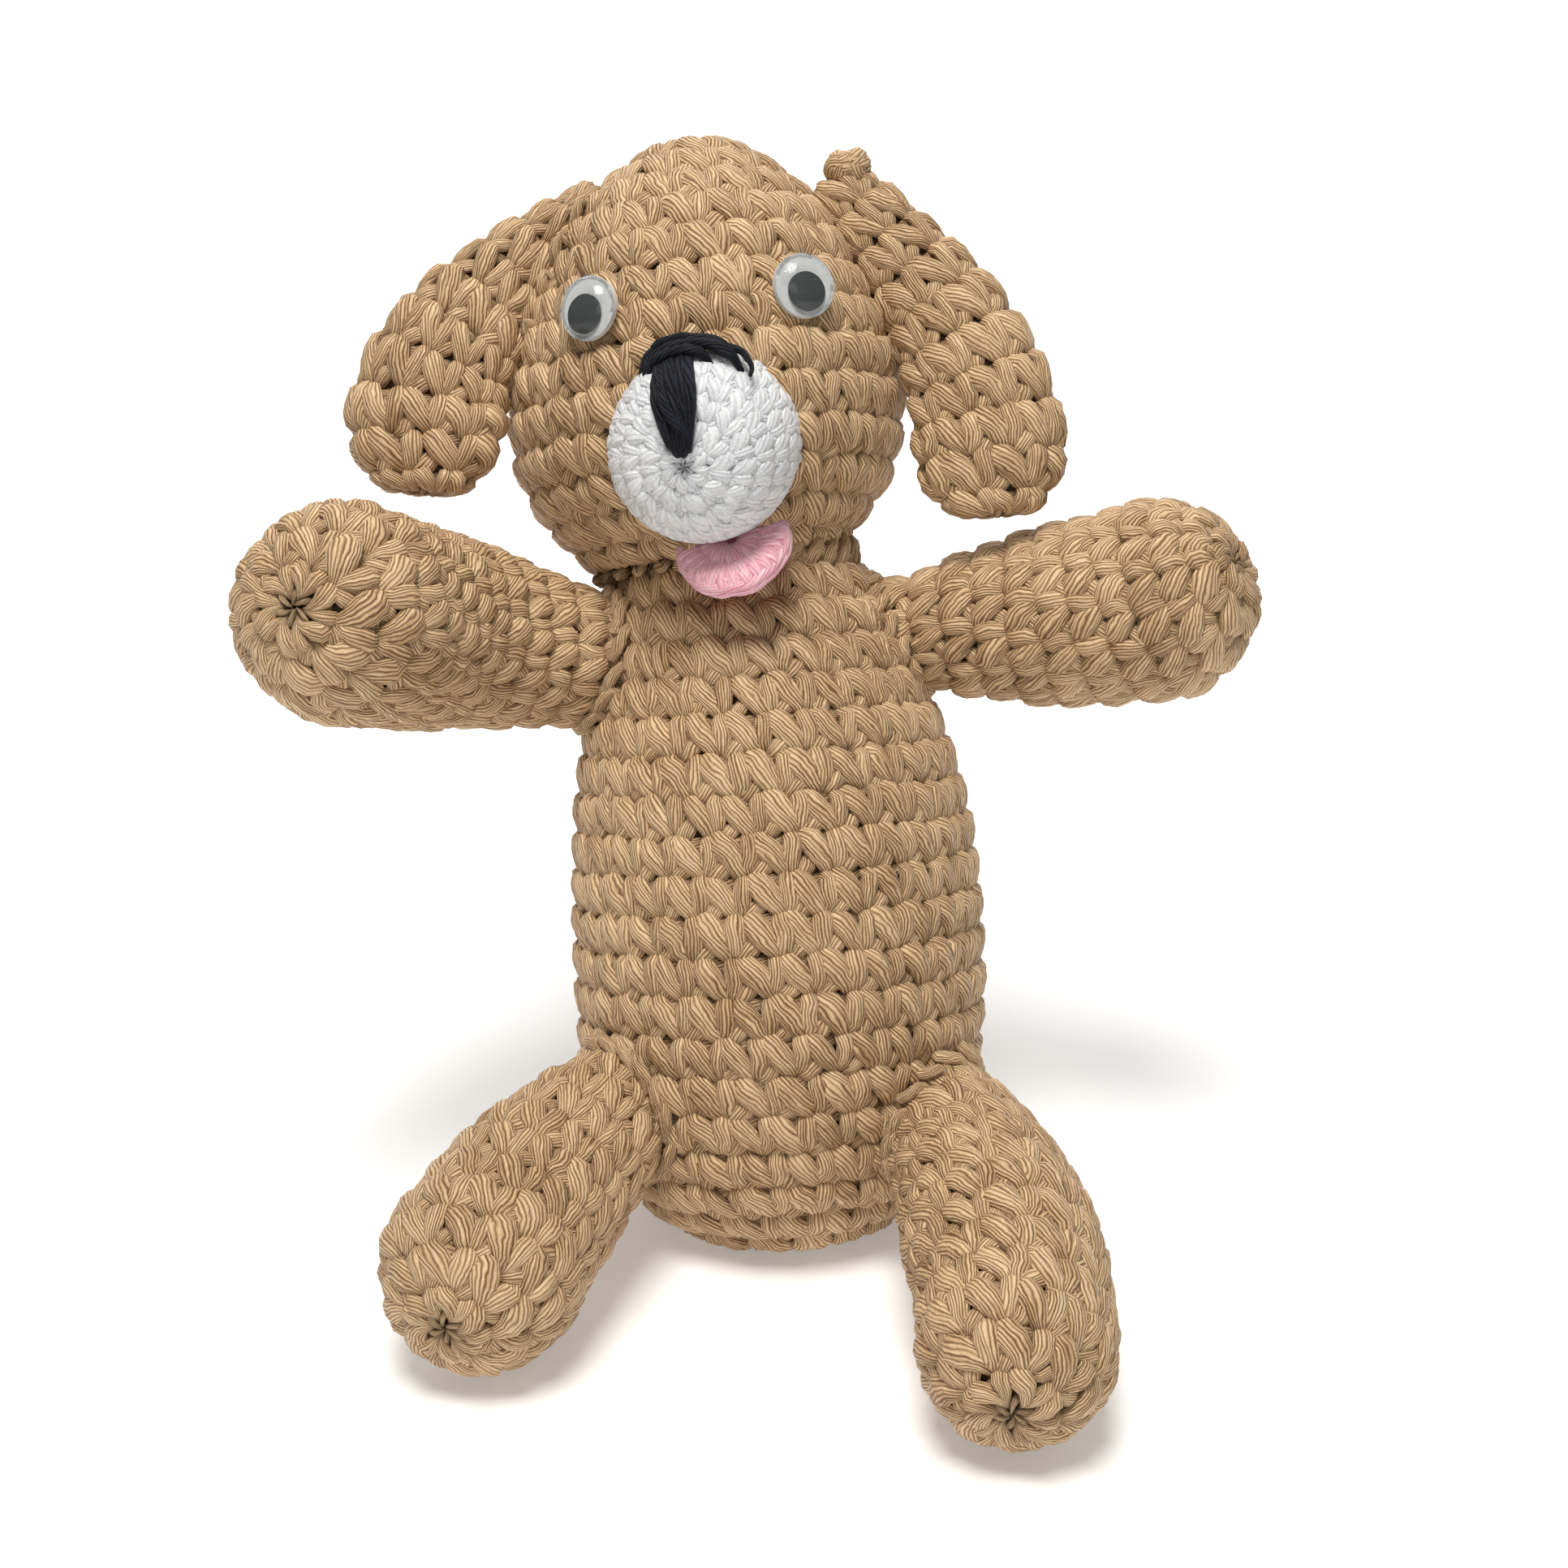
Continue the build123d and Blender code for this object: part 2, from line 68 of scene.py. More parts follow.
def catmull(ctrl, n):
    """Catmull-Rom curves through ctrl [S, P, D], n samples each."""
    ctrl = np.asarray(ctrl, float)
    p = ctrl.shape[1]
    ext = np.concatenate([2 * ctrl[:, :1] - ctrl[:, 1:2], ctrl, 2 * ctrl[:, -1:] - ctrl[:, -2:-1]], 1)
    t = np.linspace(0, p - 1, n)
    i = np.minimum(t.astype(int), p - 2)
    f = (t - i)[None, :, None]
    a, b, c, d = ext[:, i], ext[:, i + 1], ext[:, i + 2], ext[:, i + 3]
    return 0.5 * (2 * b + (c - a) * f + (2 * a - 5 * b + 4 * c - d) * f ** 2 + (3 * b - a - 3 * c + d) * f ** 3)


def smooth_line(points, n):
    """A smooth line through points, resampled at n even steps."""
    dense = catmull(np.asarray(points, float)[None], len(points) * 24)[0]
    s = np.concatenate([[0], np.cumsum(np.linalg.norm(np.diff(dense, axis=0), axis=1))])
    at = np.linspace(0, s[-1], n)
    return np.stack([np.interp(at, s, dense[:, k]) for k in range(dense.shape[1])], 1)


def slerp(a, b, f):
    """Unit vectors between a and b, f [K]."""
    a, b = unit(a), unit(b)
    w = math.acos(float(np.clip(a @ b, -1, 1)))
    f = np.asarray(f, float)[:, None]
    if w < 1e-4:
        return unit(a[None] * (1 - f) + b[None] * f)
    return (np.sin((1 - f) * w) * a[None] + np.sin(f * w) * b[None]) / math.sin(w)


_noise_table = np.random.default_rng(20).random((32, 32, 32))


def soft_noise(p, scale):
    """Smooth value noise in -1..1 at points p [..., 3], with features about scale mm apart."""
    q = np.asarray(p, float) / scale + 1000.0
    i = np.floor(q).astype(int)
    f = q - i
    f = f * f * (3 - 2 * f)
    out = 0.0
    for dx in (0, 1):
        for dy in (0, 1):
            for dz in (0, 1):
                w = (f[..., 0] if dx else 1 - f[..., 0]) * (f[..., 1] if dy else 1 - f[..., 1]) * (f[..., 2] if dz else 1 - f[..., 2])
                out = out + w * _noise_table[(i[..., 0] + dx) % 32, (i[..., 1] + dy) % 32, (i[..., 2] + dz) % 32]
    return out * 2 - 1


# ================================================================ skin surfaces


class Skin:
    """The surface that the middles of the yarn strands lie on. u runs once round, to the
    right as seen from outside with the work growing upwards, and v counts rows of stitches."""

    COLS = 180

    def __init__(self, centres, e1, e2, a, b, row, rows=None, power=2.0, pole_start=True, pole_end=False, shape=None):
        k = len(centres)
        m = self.COLS
        th = np.linspace(0, 2 * math.pi, 721)
        c, s = np.cos(th), np.sin(th)
        cx = np.sign(c) * np.abs(c) ** (2 / power)
        sy = np.sign(s) * np.abs(s) ** (2 / power)
        grid = np.zeros((k, m, 3))
        a = np.broadcast_to(a, (k,))
        b = np.broadcast_to(b, (k,))
        for j in range(k):
            ring = centres[j] + np.outer(cx * a[j], e1[j]) + np.outer(sy * b[j], e2[j])
            d = np.concatenate([[0], np.cumsum(np.linalg.norm(np.diff(ring, axis=0), axis=1))])
            if d[-1] < 1e-6:
                grid[j] = ring[0]
                continue
            at = np.linspace(0, d[-1], m, endpoint=False)
            grid[j] = np.stack([np.interp(at, d, ring[:, x]) for x in range(3)], 1)
        if shape is not None:
            grid = shape(grid)
        step = np.linalg.norm(np.diff(grid, axis=0), axis=2).mean(1)
        v = np.concatenate([[0], np.cumsum(step)])
        self.rows = rows or max(2, int(round(v[-1] / row)))
        v = v / v[-1] * self.rows
        self.per = 14
        at = np.linspace(0, self.rows, self.rows * self.per + 1)
        i = np.clip(np.searchsorted(v, at, side="right") - 1, 0, k - 2)
        f = ((at - v[i]) / np.maximum(v[i + 1] - v[i], 1e-9))[:, None, None]
        self.p = grid[i] * (1 - f) + grid[i + 1] * f
        self.finish()

    def finish(self):
        p = self.p
        du = np.roll(p, -1, 1) - np.roll(p, 1, 1)
        dv = np.gradient(p, axis=0)
        n = np.cross(du, dv)
        size = np.linalg.norm(n, axis=2, keepdims=True)
        n = n / np.maximum(size, 1e-12)
        weak = (size[..., 0] < 1e-3)
        for j in range(len(p)):
            if weak[j].any():
                near = j + 2 if j < len(p) // 2 else j - 2
                n[j] = unit(n[near].mean(0))[None]
        self.n = n
        self.girth = np.linalg.norm(np.roll(p, -1, 1) - p, axis=2).sum(1)

    def at(self, u, v):
        """Points and normals at u, v (any shape)."""
        x = (np.asarray(u) % 1.0) * self.COLS
        y = np.clip(np.asarray(v) * self.per, 0, len(self.p) - 1.001)
        i, j = np.floor(x).astype(int), np.floor(y).astype(int)
        fx, fy = (x - i)[..., None], (y - j)[..., None]
        i0, i1 = i % self.COLS, (i + 1) % self.COLS

        def mix(g):
            return (g[j, i0] * (1 - fx) + g[j, i1] * fx) * (1 - fy) + (g[j + 1, i0] * (1 - fx) + g[j + 1, i1] * fx) * fy

        return mix(self.p), unit(mix(self.n))

    def girth_at(self, v):
        y = np.clip(np.asarray(v) * self.per, 0, len(self.p) - 1)
        return np.interp(y, np.arange(len(self.girth)), self.girth)


# ============================================================== strands of yarn

# one stitch, from the hole that its legs come out of: (across in stitch widths, up in
# rows, out in mm), then half width and half thickness in mm
LEG_WIDE = np.array([
    (0.03, -0.20, -2.3, 0.90, 0.80), (0.00, 0.02, -1.25, 1.20, 0.95), (-0.11, 0.26, -0.22, 1.68, 1.15),
    (-0.31, 0.58, 0.26, 2.08, 1.28), (-0.54, 0.88, 0.34, 2.02, 1.20), (-0.72, 1.08, -1.35, 1.55, 0.95)])
LEG_NARROW = np.array([
    (0.06, -0.20, -2.3, 0.80, 0.70), (0.08, 0.04, -1.20, 1.00, 0.85), (0.13, 0.29, -0.22, 1.42, 1.12),
    (0.16, 0.60, 0.22, 1.68, 1.22), (0.15, 0.90, 0.30, 1.62, 1.15), (0.11, 1.08, -1.35, 1.20, 0.88)])
UNDER = np.array([
    (0.04, -0.16, -2.0, 0.80, 0.70), (0.18, 0.00, -0.95, 1.25, 0.95), (0.36, 0.14, -0.30, 1.50, 1.05),
    (0.52, 0.33, -0.38, 1.50, 1.00), (0.64, 0.54, -1.50, 1.00, 0.80)])
# the loops along the top of the row, which show only in the gaps
LOOP = np.array([
    (-0.98, 0.94, -2.1, 1.00, 0.85), (-0.74, 0.88, -1.20, 1.45, 1.00), (-0.38, 0.84, -0.80, 1.55, 1.05),
    (-0.02, 0.90, -1.10, 1.45, 1.00), (0.16, 1.00, -2.1, 1.00, 0.85)])


def sweep(centre, normal, half_w, half_t, sides, rng, twist=0.30, ridge=0.03, rough=0.05):
    """Tubes round centre lines [S, T, 3] with flattened, fluted sections. Returns [S, T, sides, 3]."""
    s, t = centre.shape[:2]
    tan = unit(np.gradient(centre, axis=1))
    side = unit(np.cross(tan, normal))
    up = np.cross(side, tan)
    k = np.arange(sides)
    turn = rng.uniform(0.4, 1.0, (s, 1, 1)) * twist * 2 * math.pi * (np.linspace(-0.5, 0.5, t)[None, :, None])
    ang = k[None, None, :] / sides * 2 * math.pi + turn
    flute = 1 + ridge * np.where(k % 2 == 0, 1, -1)[None, None, :] + rough * rng.uniform(-1, 1, (s, 1, sides))
    cs, sn = np.cos(ang) * flute, np.sin(ang) * flute
    return centre[:, :, None, :] + side[:, :, None, :] * (cs * half_w[:, :, None])[..., None] + up[:, :, None, :] * (sn * half_t[:, :, None])[..., None]


class Yarn:
    """Collects strands, then makes one mesh."""

    def __init__(self):
        self.parts = []      # (verts [S,T,M,3], tint [S], depth [S,T], lengths [S,T])
        self.grids = []      # closed backing grids

    def strands(self, tubes, tint, depth, centre):
        seg = np.linalg.norm(np.diff(centre, axis=1), axis=2)
        run = np.concatenate([np.zeros((len(seg), 1)), np.cumsum(seg, 1)], 1)
        self.parts.append((tubes, tint, depth, run))

    def backing(self, grid, closed_ends=True):
        self.grids.append(grid)

    def build(self, name, moves=()):
        verts, tints, depths = [], [], []
        loops, starts, totals, uv, atlas = [], [], [], [], []
        base = 0
        n_strands = sum(len(p[0]) for p in self.parts)
        wide = 0.93 if self.grids else 1.0
        cols = max(1, int(math.ceil(math.sqrt(max(n_strands, 1) * 1.6))))
        lines = max(1, int(math.ceil(n_strands / cols)))
        cell = 0
        at = 0
        for tubes, tint, depth, run in self.parts:
            s, t, m = tubes.shape[:3]
            verts.append(tubes.reshape(-1, 3))
            tints.append(np.repeat(tint, t * m))
            depths.append(np.repeat(depth.reshape(-1), m))
            ss, tt, kk = np.meshgrid(np.arange(s), np.arange(t - 1), np.arange(m), indexing="ij")
            k2 = (kk + 1) % m
            a = base + (ss * t + tt) * m
            quad = np.stack([a + kk, a + k2, a + m + k2, a + m + kk], -1).reshape(-1, 4)
            loops.append(quad.reshape(-1))
            starts.append(at + np.arange(len(quad)) * 4)
            totals.append(np.full(len(quad), 4))
            at += quad.size
            u0, u1 = kk / m, (kk + 1) / m
            v0, v1 = run[ss, tt], run[ss, tt + 1]
            uv.append(np.stack([u0, v0, u1, v0, u1, v1, u0, v1], -1).reshape(-1, 2))
            ids = cell + ss
            cx, cy = ids % cols, ids // cols
            pad = 0.06

            def place(u, f):
                return (cx + pad + u * (1 - 2 * pad)) / cols * wide, (cy + pad + f * (1 - 2 * pad)) / lines

            f0, f1 = tt / (t - 1), (tt + 1) / (t - 1)
            q = [place(u0, f0), place(u1, f0), place(u1, f1), place(u0, f1)]
            atlas.append(np.stack([x for pair in q for x in pair], -1).reshape(-1, 2))
            # the two round ends
            for end, rev in ((0, True), (t - 1, False)):
                ring = np.arange(m)
                ring = ring[::-1] if rev else ring
                idx = base + (np.arange(s)[:, None] * t + end) * m + ring[None]
                loops.append(idx.reshape(-1))
                starts.append(at + np.arange(s) * m)
                totals.append(np.full(s, m))
                at += idx.size
                uv.append(np.stack([np.broadcast_to(ring / m, (s, m)), np.broadcast_to(run[:, end][:, None], (s, m))], -1).reshape(-1, 2))
                ids = cell + np.arange(s)
                cx, cy = (ids % cols)[:, None], (ids // cols)[:, None]
                ex = (cx + 0.5 + 0.2 * np.cos(ring / m * 6.283)[None]) / cols * wide
                ey = (cy + (0.02 if end == 0 else 0.98) + 0.015 * np.sin(ring / m * 6.283)[None]) / lines
                atlas.append(np.stack([ex, ey], -1).reshape(-1, 2))
            cell += s
            base += s * t * m
        for g, (k, m) in [(g, g.shape[:2]) for g in self.grids]:
            verts.append(g.reshape(-1, 3))
            tints.append(np.full(k * m, 0.5))
            # painted shade: backing grids get a depth below the material's range, so a yarn material gives them its
            # dark shade colour in full
            depths.append(np.full(k * m, -2.6))
            jj, kk = np.meshgrid(np.arange(k - 1), np.arange(m), indexing="ij")
            k2 = (kk + 1) % m
            a = base + jj * m
            quad = np.stack([a + kk, a + k2, a + m + k2, a + m + kk], -1).reshape(-1, 4)
            loops.append(quad.reshape(-1))
            starts.append(at + np.arange(len(quad)) * 4)
            totals.append(np.full(len(quad), 4))
            at += quad.size
            uv.append(np.zeros((quad.size, 2)))
            x0, x1 = wide + 0.005 + kk / m * (0.99 - wide), wide + 0.005 + (kk + 1) / m * (0.99 - wide)
            y0, y1 = jj / k, (jj + 1) / k
            atlas.append(np.stack([x0, y0, x1, y0, x1, y1, x0, y1], -1).reshape(-1, 2))
            for end, rev in ((0, True), (k - 1, False)):
                ring = base + end * m + np.arange(m)
                loops.append(ring[::-1] if rev else ring)
                starts.append(np.array([at]))
                totals.append(np.array([m]))
                at += m
                uv.append(np.zeros((m, 2)))
                atlas.append(np.full((m, 2), wide + 0.01))
            base += k * m
        co = np.concatenate(verts)
        for move in moves:
            co = move(co)
        me = bpy.data.meshes.new(name)
        me.vertices.add(len(co))
        me.vertices.foreach_set("co", (co * MM).astype(np.float32).reshape(-1))
        loops, starts, totals = np.concatenate(loops), np.concatenate(starts), np.concatenate(totals)
        me.loops.add(len(loops))
        me.loops.foreach_set("vertex_index", loops.astype(np.int32))
        me.polygons.add(len(starts))
        me.polygons.foreach_set("loop_start", starts.astype(np.int32))
        me.polygons.foreach_set("loop_total", totals.astype(np.int32))
        me.polygons.foreach_set("use_smooth", np.ones(len(starts), bool))
        for layer, data in (("Strand", uv), ("OFBake", atlas)):
            lay = me.uv_layers.new(name=layer)
            lay.data.foreach_set("uv", np.concatenate(data).astype(np.float32).reshape(-1))
        me.uv_layers.active = me.uv_layers["Strand"]
        for label, data in (("tint", tints), ("depth", depths)):
            at_ = me.attributes.new(label, "FLOAT", "POINT")
            at_.data.foreach_set("value", np.concatenate(data).astype(np.float32))
        me.update()
        me.validate()
        ob = bpy.data.objects.new(name, me)
        bpy.context.scene.collection.objects.link(ob)
        return ob


def crochet(yarn, skin, pitch, rng, first=0, last=None, size=1.0, jitter=1.0, min_count=6, sides=(18, 16, 12, 10), steps=(10, 10, 7, 6),
            counts=None, phase0=0.0, lean=0.2, puff=1.0, drop=None, hole0=0.09, slant=1.0, fat=1.0):
    """Works rows of single crochet over a skin: two legs and an under-strand for each stitch."""
    last = skin.rows if last is None else last
    phase = phase0
    before = None
    jobs = {0: [], 1: [], 2: [], 3: []}
    for j in range(skin.rows):
        if counts is not None:
            n = counts[min(j, len(counts) - 1)]
        else:
            n = max(min_count, int(round(skin.girth_at(j + 0.5) / pitch)))
            if before is not None and abs(n - before) == 1:
                n = before
        before = n
        if first <= j < last:
            i = np.arange(n)
            shift = rng.uniform(-0.07, 0.07, n) * jitter
            tall = rng.uniform(-0.05, 0.05, n) * jitter
            swell = 1 + rng.uniform(-0.12, 0.10, n) * jitter
            for which, table in enumerate((LEG_WIDE, LEG_NARROW, UNDER, LOOP)):
                ctrl = np.repeat(table[None], n, 0).copy()
                ctrl[..., 0] *= slant
                ctrl[..., 3:] *= fat
                loose = rng.uniform(-1, 1, (n, len(table), 3)) * np.array([0.045, 0.035, 0.16]) * jitter
                loose[:, 0] *= 0.3
                ctrl[..., :3] += loose
                ctrl[..., 0] += (shift + phase + i)[:, None]
                ctrl[..., 1] += tall[:, None]
                ctrl[..., 2] *= size
                ctrl[..., 2] += (0.25 * (puff - 1)) * np.array([0, 0, 1, 1.4, 1, 0])[: len(table)]
                ctrl[..., 3:] *= size * swell[:, None, None] * (1 + rng.uniform(-0.06, 0.06, n)[:, None, None] * jitter)
                if j == 0:
                    ctrl[..., 1] = hole0 + (ctrl[..., 1] + 0.2) * (1 - hole0 + 0.06) / 1.28 if which < 2 else hole0 + np.maximum(ctrl[..., 1], 0) * 0.8
                jobs[which].append((np.full(n, n), np.full(n, j), ctrl))
        phase = (phase + lean) % 1.0
    for which, items in jobs.items():
        if not items:
            continue
        n = np.concatenate([x[0] for x in items])
        j = np.concatenate([x[1] for x in items])
        ctrl = np.concatenate([x[2] for x in items])
        if drop is not None:
            q, _ = skin.at((ctrl[:, 2, 0]) / n, j + ctrl[:, 2, 1])
            keep = ~drop(q)
            n, j, ctrl = n[keep], j[keep], ctrl[keep]
        path = catmull(ctrl, steps[which])
        u = path[..., 0] / n[:, None]
        v = np.clip(j[:, None] + path[..., 1], 0.02, skin.rows)
        p, nrm = skin.at(u, v)
        room = skin.girth_at(v) / n[:, None]
        fit = np.clip(room / pitch, 0.16, 1.12)
        out = path[..., 2] * np.clip(fit, 0.45, 1.0)
        centre = p + nrm * out[..., None]
        half_w = path[..., 3] * fit
        half_t = path[..., 4] * np.clip(fit, 0.35, 1.0) ** 0.5
        tubes = sweep(centre, nrm, half_w, half_t, sides[which], rng)
        # the strand's height over the skin is its depth, which drives the yarn material's painted shade in the holes
        yarn.strands(tubes, rng.random(len(tubes)), path[..., 2] / size, centre)


def backing_of(skin, depth, rows=None, around=64, v0=0.0, v1=None):
    """A closed sheet below the strands, so that no gap shows daylight; the yarn material paints it in full with its
    dark painted shade colour.
    """
    v1 = skin.rows if v1 is None else v1
    v = np.linspace(v0 + 0.03, v1 - 0.02, rows or max(8, int((v1 - v0) * 4)))
    u = np.arange(around) / around
    p, n = skin.at(u[None, :] + 0 * v[:, None], v[:, None] + 0 * u[None, :])
    return p - n * depth


def rope(points, half, normal_from, rng, n=24, sides=14, flat=1.0, twist=1.0, taper=None):
    """One free-standing strand through points [P, 3]. normal_from gives its upper side."""
    line = smooth_line(points, n)[None]
    nrm = unit(line - np.asarray(normal_from, float)[None, None]) if np.ndim(normal_from) == 1 and normal_from is not None else normal_from
    half = np.full((1, n), float(half))
    if taper is not None:
        half = half * np.interp(np.linspace(0, 1, n), [t[0] for t in taper], [t[1] for t in taper])[None]
    tubes = sweep(line, nrm, half, half * flat, sides, rng, twist=twist)
    return tubes, line


# ==================================================================== materials


def new_material(name):
    m = bpy.data.materials.new(name)
    m.use_nodes = True
    nt = m.node_tree
    nt.nodes.clear()
    out = nt.nodes.new("ShaderNodeOutputMaterial")
    bsdf = nt.nodes.new("ShaderNodeBsdfPrincipled")
    nt.links.new(bsdf.outputs[0], out.inputs[0])
    return m, nt, bsdf


def node(nt, kind, **values):
    n = nt.nodes.new(kind)
    for k, v in values.items():
        if k in n.inputs.keys():
            n.inputs[k].default_value = v
        else:
            setattr(n, k, v)
    return n


def ramp(nt, fac, stops):
    r = nt.nodes.new("ShaderNodeValToRGB")
    r.color_ramp.elements[0].position, r.color_ramp.elements[0].color = stops[0][0], (*stops[0][1], 1)
    r.color_ramp.elements[1].position, r.color_ramp.elements[1].color = stops[-1][0], (*stops[-1][1], 1)
    for pos, col in stops[1:-1]:
        e = r.color_ramp.elements.new(pos)
        e.color = (*col, 1)
    nt.links.new(fac, r.inputs[0])
    return r.outputs[0]


def math_node(nt, op, a, b=None, c=None):
    n = nt.nodes.new("ShaderNodeMath")
    n.operation = op
    for i, x in enumerate((a, b, c)):
        if x is None:
            continue
        if isinstance(x, (int, float)):
            n.inputs[i].default_value = x
        else:
            nt.links.new(x, n.inputs[i])
    return n.outputs[0]


def srgb(r, g, b):
    return tuple((x / 255 / 12.92) if x / 255 <= 0.04045 else ((x / 255 + 0.055) / 1.055) ** 2.4 for x in (r, g, b))


def yarn_material(name, light, mid, dark, deep, threads=20, stretch=0.16, bump=0.14, rough=0.55, sheen=0.1, fuzz=0.25, spec=0.35, patch=0.12, groove_shade=0.42):
    """Spun yarn: fine threads along each strand, a tint for each strand, and painted shade: darker down in the holes
    and in the grooves between threads.
    """
    m, nt, bsdf = new_material(name)
    L = nt.links
    uv = node(nt, "ShaderNodeUVMap", uv_map="Strand")
    tint = node(nt, "ShaderNodeAttribute", attribute_name="tint")
    depth = node(nt, "ShaderNodeAttribute", attribute_name="depth")
    sep = node(nt, "ShaderNodeSeparateXYZ")
    L.new(uv.outputs[0], sep.inputs[0])
    # threads wind slightly round the strand, and wander a little
    vary = node(nt, "ShaderNodeCombineXYZ")
    L.new(math_node(nt, "MULTIPLY", sep.outputs[0], 5.0), vary.inputs[0])
    L.new(math_node(nt, "MULTIPLY", sep.outputs[1], 0.22), vary.inputs[1])
    L.new(math_node(nt, "MULTIPLY", tint.outputs["Fac"], 37.0), vary.inputs[2])
    wander = node(nt, "ShaderNodeTexNoise", Scale=1.0, Detail=2.0)
    L.new(vary.outputs[0], wander.inputs["Vector"])
    lead = math_node(nt, "MULTIPLY_ADD", sep.outputs[1], 0.014, sep.outputs[0])
    lead = math_node(nt, "MULTIPLY_ADD", wander.outputs[0], 0.14, lead)
    turns = math_node(nt, "MULTIPLY", lead, math.pi * threads)
    round_thread = math_node(nt, "ABSOLUTE", math_node(nt, "SINE", turns))
    # each thread has its own tone along its length
    comb = node(nt, "ShaderNodeCombineXYZ")
    L.new(math_node(nt, "MULTIPLY", lead, float(threads) * 0.9), comb.inputs[0])
    L.new(math_node(nt, "MULTIPLY", sep.outputs[1], stretch), comb.inputs[1])
    L.new(math_node(nt, "MULTIPLY", tint.outputs["Fac"], 91.0), comb.inputs[2])
    fine = node(nt, "ShaderNodeTexNoise", Scale=1.0, Detail=2.0, Roughness=0.6)
    L.new(comb.outputs[0], fine.inputs["Vector"])
    # loose fibre and broad unevenness in the object itself
    geo = node(nt, "ShaderNodeTexCoord")
    fibre = node(nt, "ShaderNodeTexNoise", Scale=2600.0, Detail=2.0, Roughness=0.7)
    L.new(geo.outputs["Object"], fibre.inputs["Vector"])
    broad = node(nt, "ShaderNodeTexNoise", Scale=60.0, Detail=2.0)
    L.new(geo.outputs["Object"], broad.inputs["Vector"])
    # painted shade and highlight: the groove weight darkens the colour in the grooves between threads and lightens it
    # on their crests
    tone = math_node(nt, "MULTIPLY_ADD", fine.outputs[0], 0.8, math_node(nt, "MULTIPLY_ADD", round_thread, groove_shade, -0.1 - groove_shade * 0.62))
    f = math_node(nt, "MULTIPLY_ADD", math_node(nt, "SUBTRACT", fibre.outputs[0], 0.5), fuzz, math_node(nt, "ADD", tone, 0.2))
    f = math_node(nt, "MULTIPLY_ADD", math_node(nt, "SUBTRACT", tint.outputs["Fac"], 0.5), patch, f)
    f = math_node(nt, "MULTIPLY_ADD", math_node(nt, "SUBTRACT", broad.outputs[0], 0.5), patch * 2, f)
    col = ramp(nt, f, [(0.18, dark), (0.50, mid), (0.72, light)])
    # painted shade: the colour goes over to the dark deep colour as a strand dives down into a hole, by its depth
    # attribute; the backing sheet takes the deep colour in full
    low = node(nt, "ShaderNodeMapRange", **{"From Min": -2.1, "From Max": -0.05, "To Min": 0.0, "To Max": 1.0})
    low.interpolation_type = "SMOOTHSTEP"
    L.new(depth.outputs["Fac"], low.inputs["Value"])
    mix = nt.nodes.new("ShaderNodeMix")
    mix.data_type = "RGBA"
    mix.inputs["A"].default_value = (*deep, 1)
    L.new(low.outputs[0], mix.inputs["Factor"])
    for s in mix.inputs:
        if s.name == "B" and s.type == "RGBA":
            L.new(col, s)
        if s.name == "A" and s.type == "RGBA":
            s.default_value = (*deep, 1)
    L.new([o for o in mix.outputs if o.type == "RGBA"][0], bsdf.inputs["Base Color"])
    L.new(math_node(nt, "MULTIPLY_ADD", fine.outputs[0], -0.18, rough + 0.09), bsdf.inputs["Roughness"])
    b = node(nt, "ShaderNodeBump", Strength=0.9, Distance=bump * MM)
    high = math_node(nt, "MULTIPLY_ADD", fine.outputs[0], 0.5, round_thread)
    L.new(math_node(nt, "MULTIPLY_ADD", fibre.outputs[0], 0.25 + fuzz, high), b.inputs["Height"])
    L.new(b.outputs[0], bsdf.inputs["Normal"])
    bsdf.inputs["Sheen Weight"].default_value = sheen
    bsdf.inputs["Sheen Roughness"].default_value = 0.45
    bsdf.inputs["Specular IOR Level"].default_value = spec
    return m


# the fourth colour of each yarn is its painted shade colour, for strands down in the holes and for the backing sheet
BEIGE = yarn_material("beige_cotton_yarn", srgb(226, 194, 152), srgb(187, 152, 110), srgb(116, 83, 50), srgb(100, 69, 40), sheen=0.05, groove_shade=0.5)
WHITE = yarn_material("white_acrylic_yarn", srgb(238, 238, 238), srgb(222, 223, 224), srgb(190, 191, 195), srgb(172, 173, 178), threads=10, bump=0.09,
                      rough=0.5, sheen=0.3, fuzz=0.8, spec=0.45, patch=0.06, groove_shade=0.12)
BLACK = yarn_material("black_yarn", srgb(30, 33, 44), srgb(13, 15, 22), srgb(6, 7, 11), srgb(3, 4, 6), threads=10, bump=0.16, rough=0.65, sheen=0.03,
                      fuzz=0.6, spec=0.2, patch=0.05)
PINK = yarn_material("pink_acrylic_yarn", srgb(255, 214, 224), srgb(252, 190, 203), srgb(236, 150, 172), srgb(206, 104, 132), threads=10, bump=0.12,
                     rough=0.5, sheen=0.3, fuzz=0.7, spec=0.4, patch=0.06, groove_shade=0.18)


def fill_material():
    m, nt, bsdf = new_material("polyester_fibre")
    geo = node(nt, "ShaderNodeTexCoord")
    n = node(nt, "ShaderNodeTexNoise", Scale=420.0, Detail=6.0, Roughness=0.75, Distortion=2.0)
    nt.links.new(geo.outputs["Object"], n.inputs["Vector"])
    nt.links.new(ramp(nt, n.outputs[0], [(0.3, srgb(196, 196, 192)), (0.7, srgb(244, 244, 240))]), bsdf.inputs["Base Color"])
    b = node(nt, "ShaderNodeBump", Strength=1.0, Distance=0.8 * MM)
    nt.links.new(n.outputs[0], b.inputs["Height"])
    nt.links.new(b.outputs[0], bsdf.inputs["Normal"])
    bsdf.inputs["Roughness"].default_value = 0.95
    bsdf.inputs["Sheen Weight"].default_value = 0.5
    return m


FILL = fill_material()


